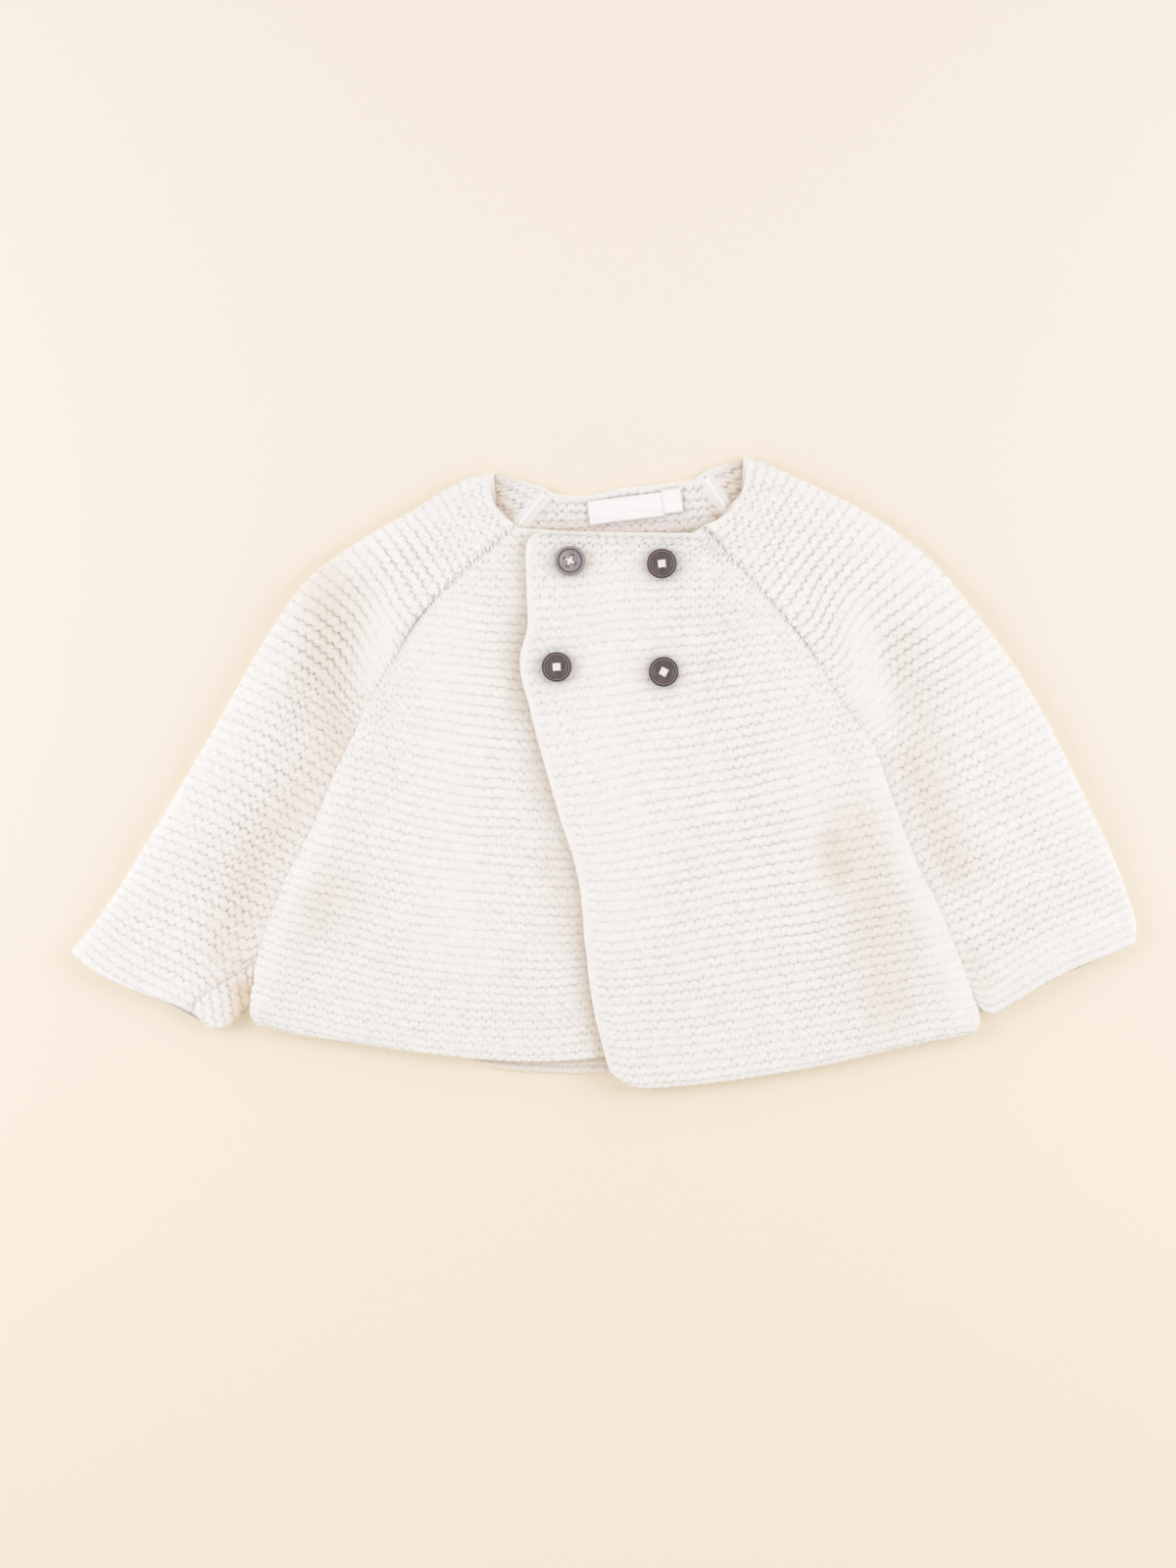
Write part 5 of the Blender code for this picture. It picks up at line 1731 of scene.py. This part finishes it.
class CARDIGAN_OT_sewing(bpy.types.Operator):
    """Sew the raglan seams and raise the fluff on the yarn"""

    bl_idname = "cardigan.sewing"
    bl_label = "Sew the raglans and raise the fluff"

    def execute(self, context):
        knit, sewing = context.scene.cardigan_knit, context.scene.cardigan_sewing
        loose = yarn(knit, "yarn_cream", loose_yarn_material)
        tree = sewing_tree()
        for side, seed, way, column in (("right", 1, 1, 0), ("left", 2, -1, -1)):
            shares = np.linspace(SEWING_FROM, SEWN_SHARES[side][0], SEWING_POINTS)
            seam = front_grid(side, shares)[:, -1] + (0, 0, SEWING_RISE)
            made = made_by(tree, line_object(f"seam_{side}", [seam]), f"sewing_{side}", {
                "Spacing": sewing.spacing, "Length": sewing.stitch_length, "Thickness": sewing.thickness,
                "Slant": way * sewing.slant, "Seed": seed, "Material": loose,
            })
            ride(made)
            path = back_grid(np.linspace(*INSIDE_SHARES, INSIDE_POINTS))[:, column] + (0, 0, WALL / 2 + INSIDE_RISE)
            ride(tubes(f"sewing_inside_{side}", [path], INSIDE_RADIUS, loose))
        tree = fluff_tree()
        for seed, panel in enumerate(("front_left", "front_right", "sleeve_left", "sleeve_right")):
            source = linked(f"fluff_{panel}", bpy.data.objects[f"knit_{panel}"].data)
            made = made_by(tree, source, f"fluff_{panel}", {
                "Density": sewing.fluff_density, "Length": sewing.fluff_length, "Thickness": sewing.fluff_thickness,
                "Lowest": FLUFF_LOWEST * MM, "Seed": seed, "Material": loose,
            })
            ride(made)
        return {"FINISHED"}


class CARDIGAN_OT_ribbons(bpy.types.Operator):
    """Cut the label and the size tab"""

    bl_idname = "cardigan.ribbons"
    bl_label = "Cut the ribbons"

    def execute(self, context):
        trim = context.scene.cardigan_trim
        material = ribbon_material(trim)
        label = ribbon("ribbon_label", "label", LABEL_LENGTH, LABEL_LIFT, material, trim)
        size_tab = ribbon("ribbon_size_tab", "size_tab", SIZE_TAB_LENGTH, SIZE_TAB_LIFT, material, trim)
        size_tab.data.transform(Matrix.Translation([part * MM for part in SIZE_TAB_SHIFT]))
        ride(label, ["label"])
        ride(size_tab, ["size_tab"])
        return {"FINISHED"}


class CARDIGAN_OT_buttons(bpy.types.Operator):
    """Turn the buttons and sew them on"""

    bl_idname = "cardigan.buttons"
    bl_label = "Make the buttons"

    def execute(self, context):
        trim, knit = context.scene.cardigan_trim, context.scene.cardigan_knit
        form = button_form(trim)
        dark = button_material("resin_brown", trim.button_colour, DARK_BUTTON_SHADING)
        # The paler button's colour and rings are a painted reflection of glare.
        pale = button_material("resin_glare", trim.glare_button_colour, GLARE_BUTTON_SHADING)
        face = BUTTON_PROFILE[0][1] * trim.button_thickness / MM
        for name, turn in BUTTON_TURNS.items():
            low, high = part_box(f"button_{name}")
            middle = Vector(((low[0] + high[0]) / 2, (low[1] + high[1]) / 2, low[2]))
            place = Matrix.Translation(middle) @ Matrix.Rotation(math.radians(turn), 4, "Z")
            piece = linked(f"resin_{name}", form.data.copy())
            piece.data.transform(place)
            coat(piece.data, pale if name == GLARE_BUTTON else dark)
            ride(piece, [f"button_{name}"])
            strands = thread_strands(name == GLARE_BUTTON, face)
            thread = tubes(f"thread_{name}", strands, THREAD_RADIUS, yarn(knit, "yarn_cream", loose_yarn_material))
            thread.data.transform(place)
            ride(thread)
        bpy.data.objects.remove(form)
        return {"FINISHED"}


def lay_floor(stage):
    """A pale floor with painted light: painted paler close to the cloth, where its shade falls, and with a painted
    glow under the cloth's edge, standing in for light that the cloth lets through.
    """
    finish, graph, shader = new_material("floor", {
        "Roughness": 0.9, "Specular IOR Level": 0.2, "Emission Strength": 1.0,
    })
    nook = graph.nook(15 * MM)
    _, y, _ = graph.parts(graph.add("ShaderNodeTexCoord", output="Object"))
    # Painted fall-off of the light: yellower towards the hem's side.
    in_the_open = graph.mixed(y.ranged(*FLOOR_FADE), stage.floor_colour, stage.near_floor_colour)
    # Painted light: paler close to the cloth, where its shade falls.
    colour = graph.mixed(nook.ranged(1.0, 0.35, 0.0, 0.8), in_the_open, stage.floor_nook_light)
    graph.link(colour, shader, "Base Color")
    # Painted glow under the cloth's edge.
    graph.link(graph.mixed(nook.ranged(0.58, 0.3), BLACK, stage.painted_floor_glow), shader, "Emission Color")
    mesh = bmesh.new()
    bmesh.ops.create_grid(mesh, x_segments=1, y_segments=1, size=FLOOR_REACH)
    floor = mesh_object("floor", mesh)
    floor.data.materials.append(finish)


def light_sky(stage):
    """Even light from all round, which is stronger low down than overhead."""
    world = bpy.data.worlds.new("sky")
    world.use_nodes = True
    world.node_tree.nodes.clear()
    graph = Graph(world.node_tree)
    _, _, up = graph.parts(graph.add("ShaderNodeTexCoord", output="Generated"))
    strength = up.ranged(0.0, 1.0, stage.sky * stage.low_sky, stage.sky * (3 - stage.low_sky) / 2)
    sky = graph.node("ShaderNodeBackground", None, {"Color": (*stage.sky_colour, 1), "Strength": strength})
    graph.node("ShaderNodeOutputWorld", None, {"Surface": graph.of(sky, "Background")})
    bpy.context.scene.world = world


def hang_lamp(stage, name, power, side):
    """A soft square lamp that shines on the cardigan from one side, which is 1 for the right and -1 for the left."""
    lamp = bpy.data.lights.new(name, "AREA")
    lamp.size = LAMP_SIZE
    lamp.energy = power
    lamp.color = stage.lamp_colour
    hung = linked(name, lamp)
    hung.location = (side * LAMP_PLACE[0], *LAMP_PLACE[1:])
    hung.rotation_euler = hung.location.to_track_quat("Z", "Y").to_euler()


def set_camera(stage):
    """A camera that looks straight down."""
    camera = bpy.data.cameras.new("camera")
    camera.sensor_fit = "HORIZONTAL"
    camera.lens = camera.sensor_width * stage.camera_height / stage.frame_width
    shot = linked("camera", camera)
    shot.location = (*(part * MM for part in FRAME_MIDDLE), stage.camera_height + CAMERA_SUBJECT * MM)
    bpy.context.scene.camera = shot


class CARDIGAN_OT_stage(bpy.types.Operator):
    """Lay the floor and set the lights and the camera"""

    bl_idname = "cardigan.stage"
    bl_label = "Set the stage"

    def execute(self, context):
        stage = context.scene.cardigan_stage
        lay_floor(stage)
        light_sky(stage)
        hang_lamp(stage, "lamp_left", stage.left_lamp, -1)
        hang_lamp(stage, "lamp_right", stage.right_lamp, 1)
        context.scene.view_settings.view_transform = "Standard"
        set_camera(stage)
        return {"FINISHED"}


class CARDIGAN_PT_sidebar(bpy.types.Panel):
    """Lists the cardigan's settings and operators"""

    bl_idname = "CARDIGAN_PT_sidebar"
    bl_label = "Baby cardigan"
    bl_space_type = "VIEW_3D"
    bl_region_type = "UI"
    bl_category = "Cardigan"

    def draw(self, context):
        scene = context.scene
        for group in (scene.cardigan_knit, scene.cardigan_sewing, scene.cardigan_trim, scene.cardigan_stage):
            for name in group.__annotations__:
                self.layout.prop(group, name)
        for operator in OPERATORS:
            self.layout.operator(operator.bl_idname)


GROUPS = (KnitSettings, SewingSettings, TrimSettings, StageSettings)
OPERATORS = (
    CARDIGAN_OT_back, CARDIGAN_OT_sleeves, CARDIGAN_OT_fronts, CARDIGAN_OT_sewing, CARDIGAN_OT_ribbons,
    CARDIGAN_OT_buttons, CARDIGAN_OT_stage,
)


def register():
    for kind in (*GROUPS, *OPERATORS, CARDIGAN_PT_sidebar):
        bpy.utils.register_class(kind)
    bpy.types.Scene.cardigan_knit = bpy.props.PointerProperty(type=KnitSettings)
    bpy.types.Scene.cardigan_sewing = bpy.props.PointerProperty(type=SewingSettings)
    bpy.types.Scene.cardigan_trim = bpy.props.PointerProperty(type=TrimSettings)
    bpy.types.Scene.cardigan_stage = bpy.props.PointerProperty(type=StageSettings)


def unregister():
    del bpy.types.Scene.cardigan_stage
    del bpy.types.Scene.cardigan_trim
    del bpy.types.Scene.cardigan_sewing
    del bpy.types.Scene.cardigan_knit
    for kind in reversed((*GROUPS, *OPERATORS, CARDIGAN_PT_sidebar)):
        bpy.utils.unregister_class(kind)


def main():
    """Makes every piece and the stage."""
    register()
    for operator in OPERATORS:
        group, name = operator.bl_idname.split(".")
        getattr(getattr(bpy.ops, group), name)()


if __name__ == "__main__":
    main()
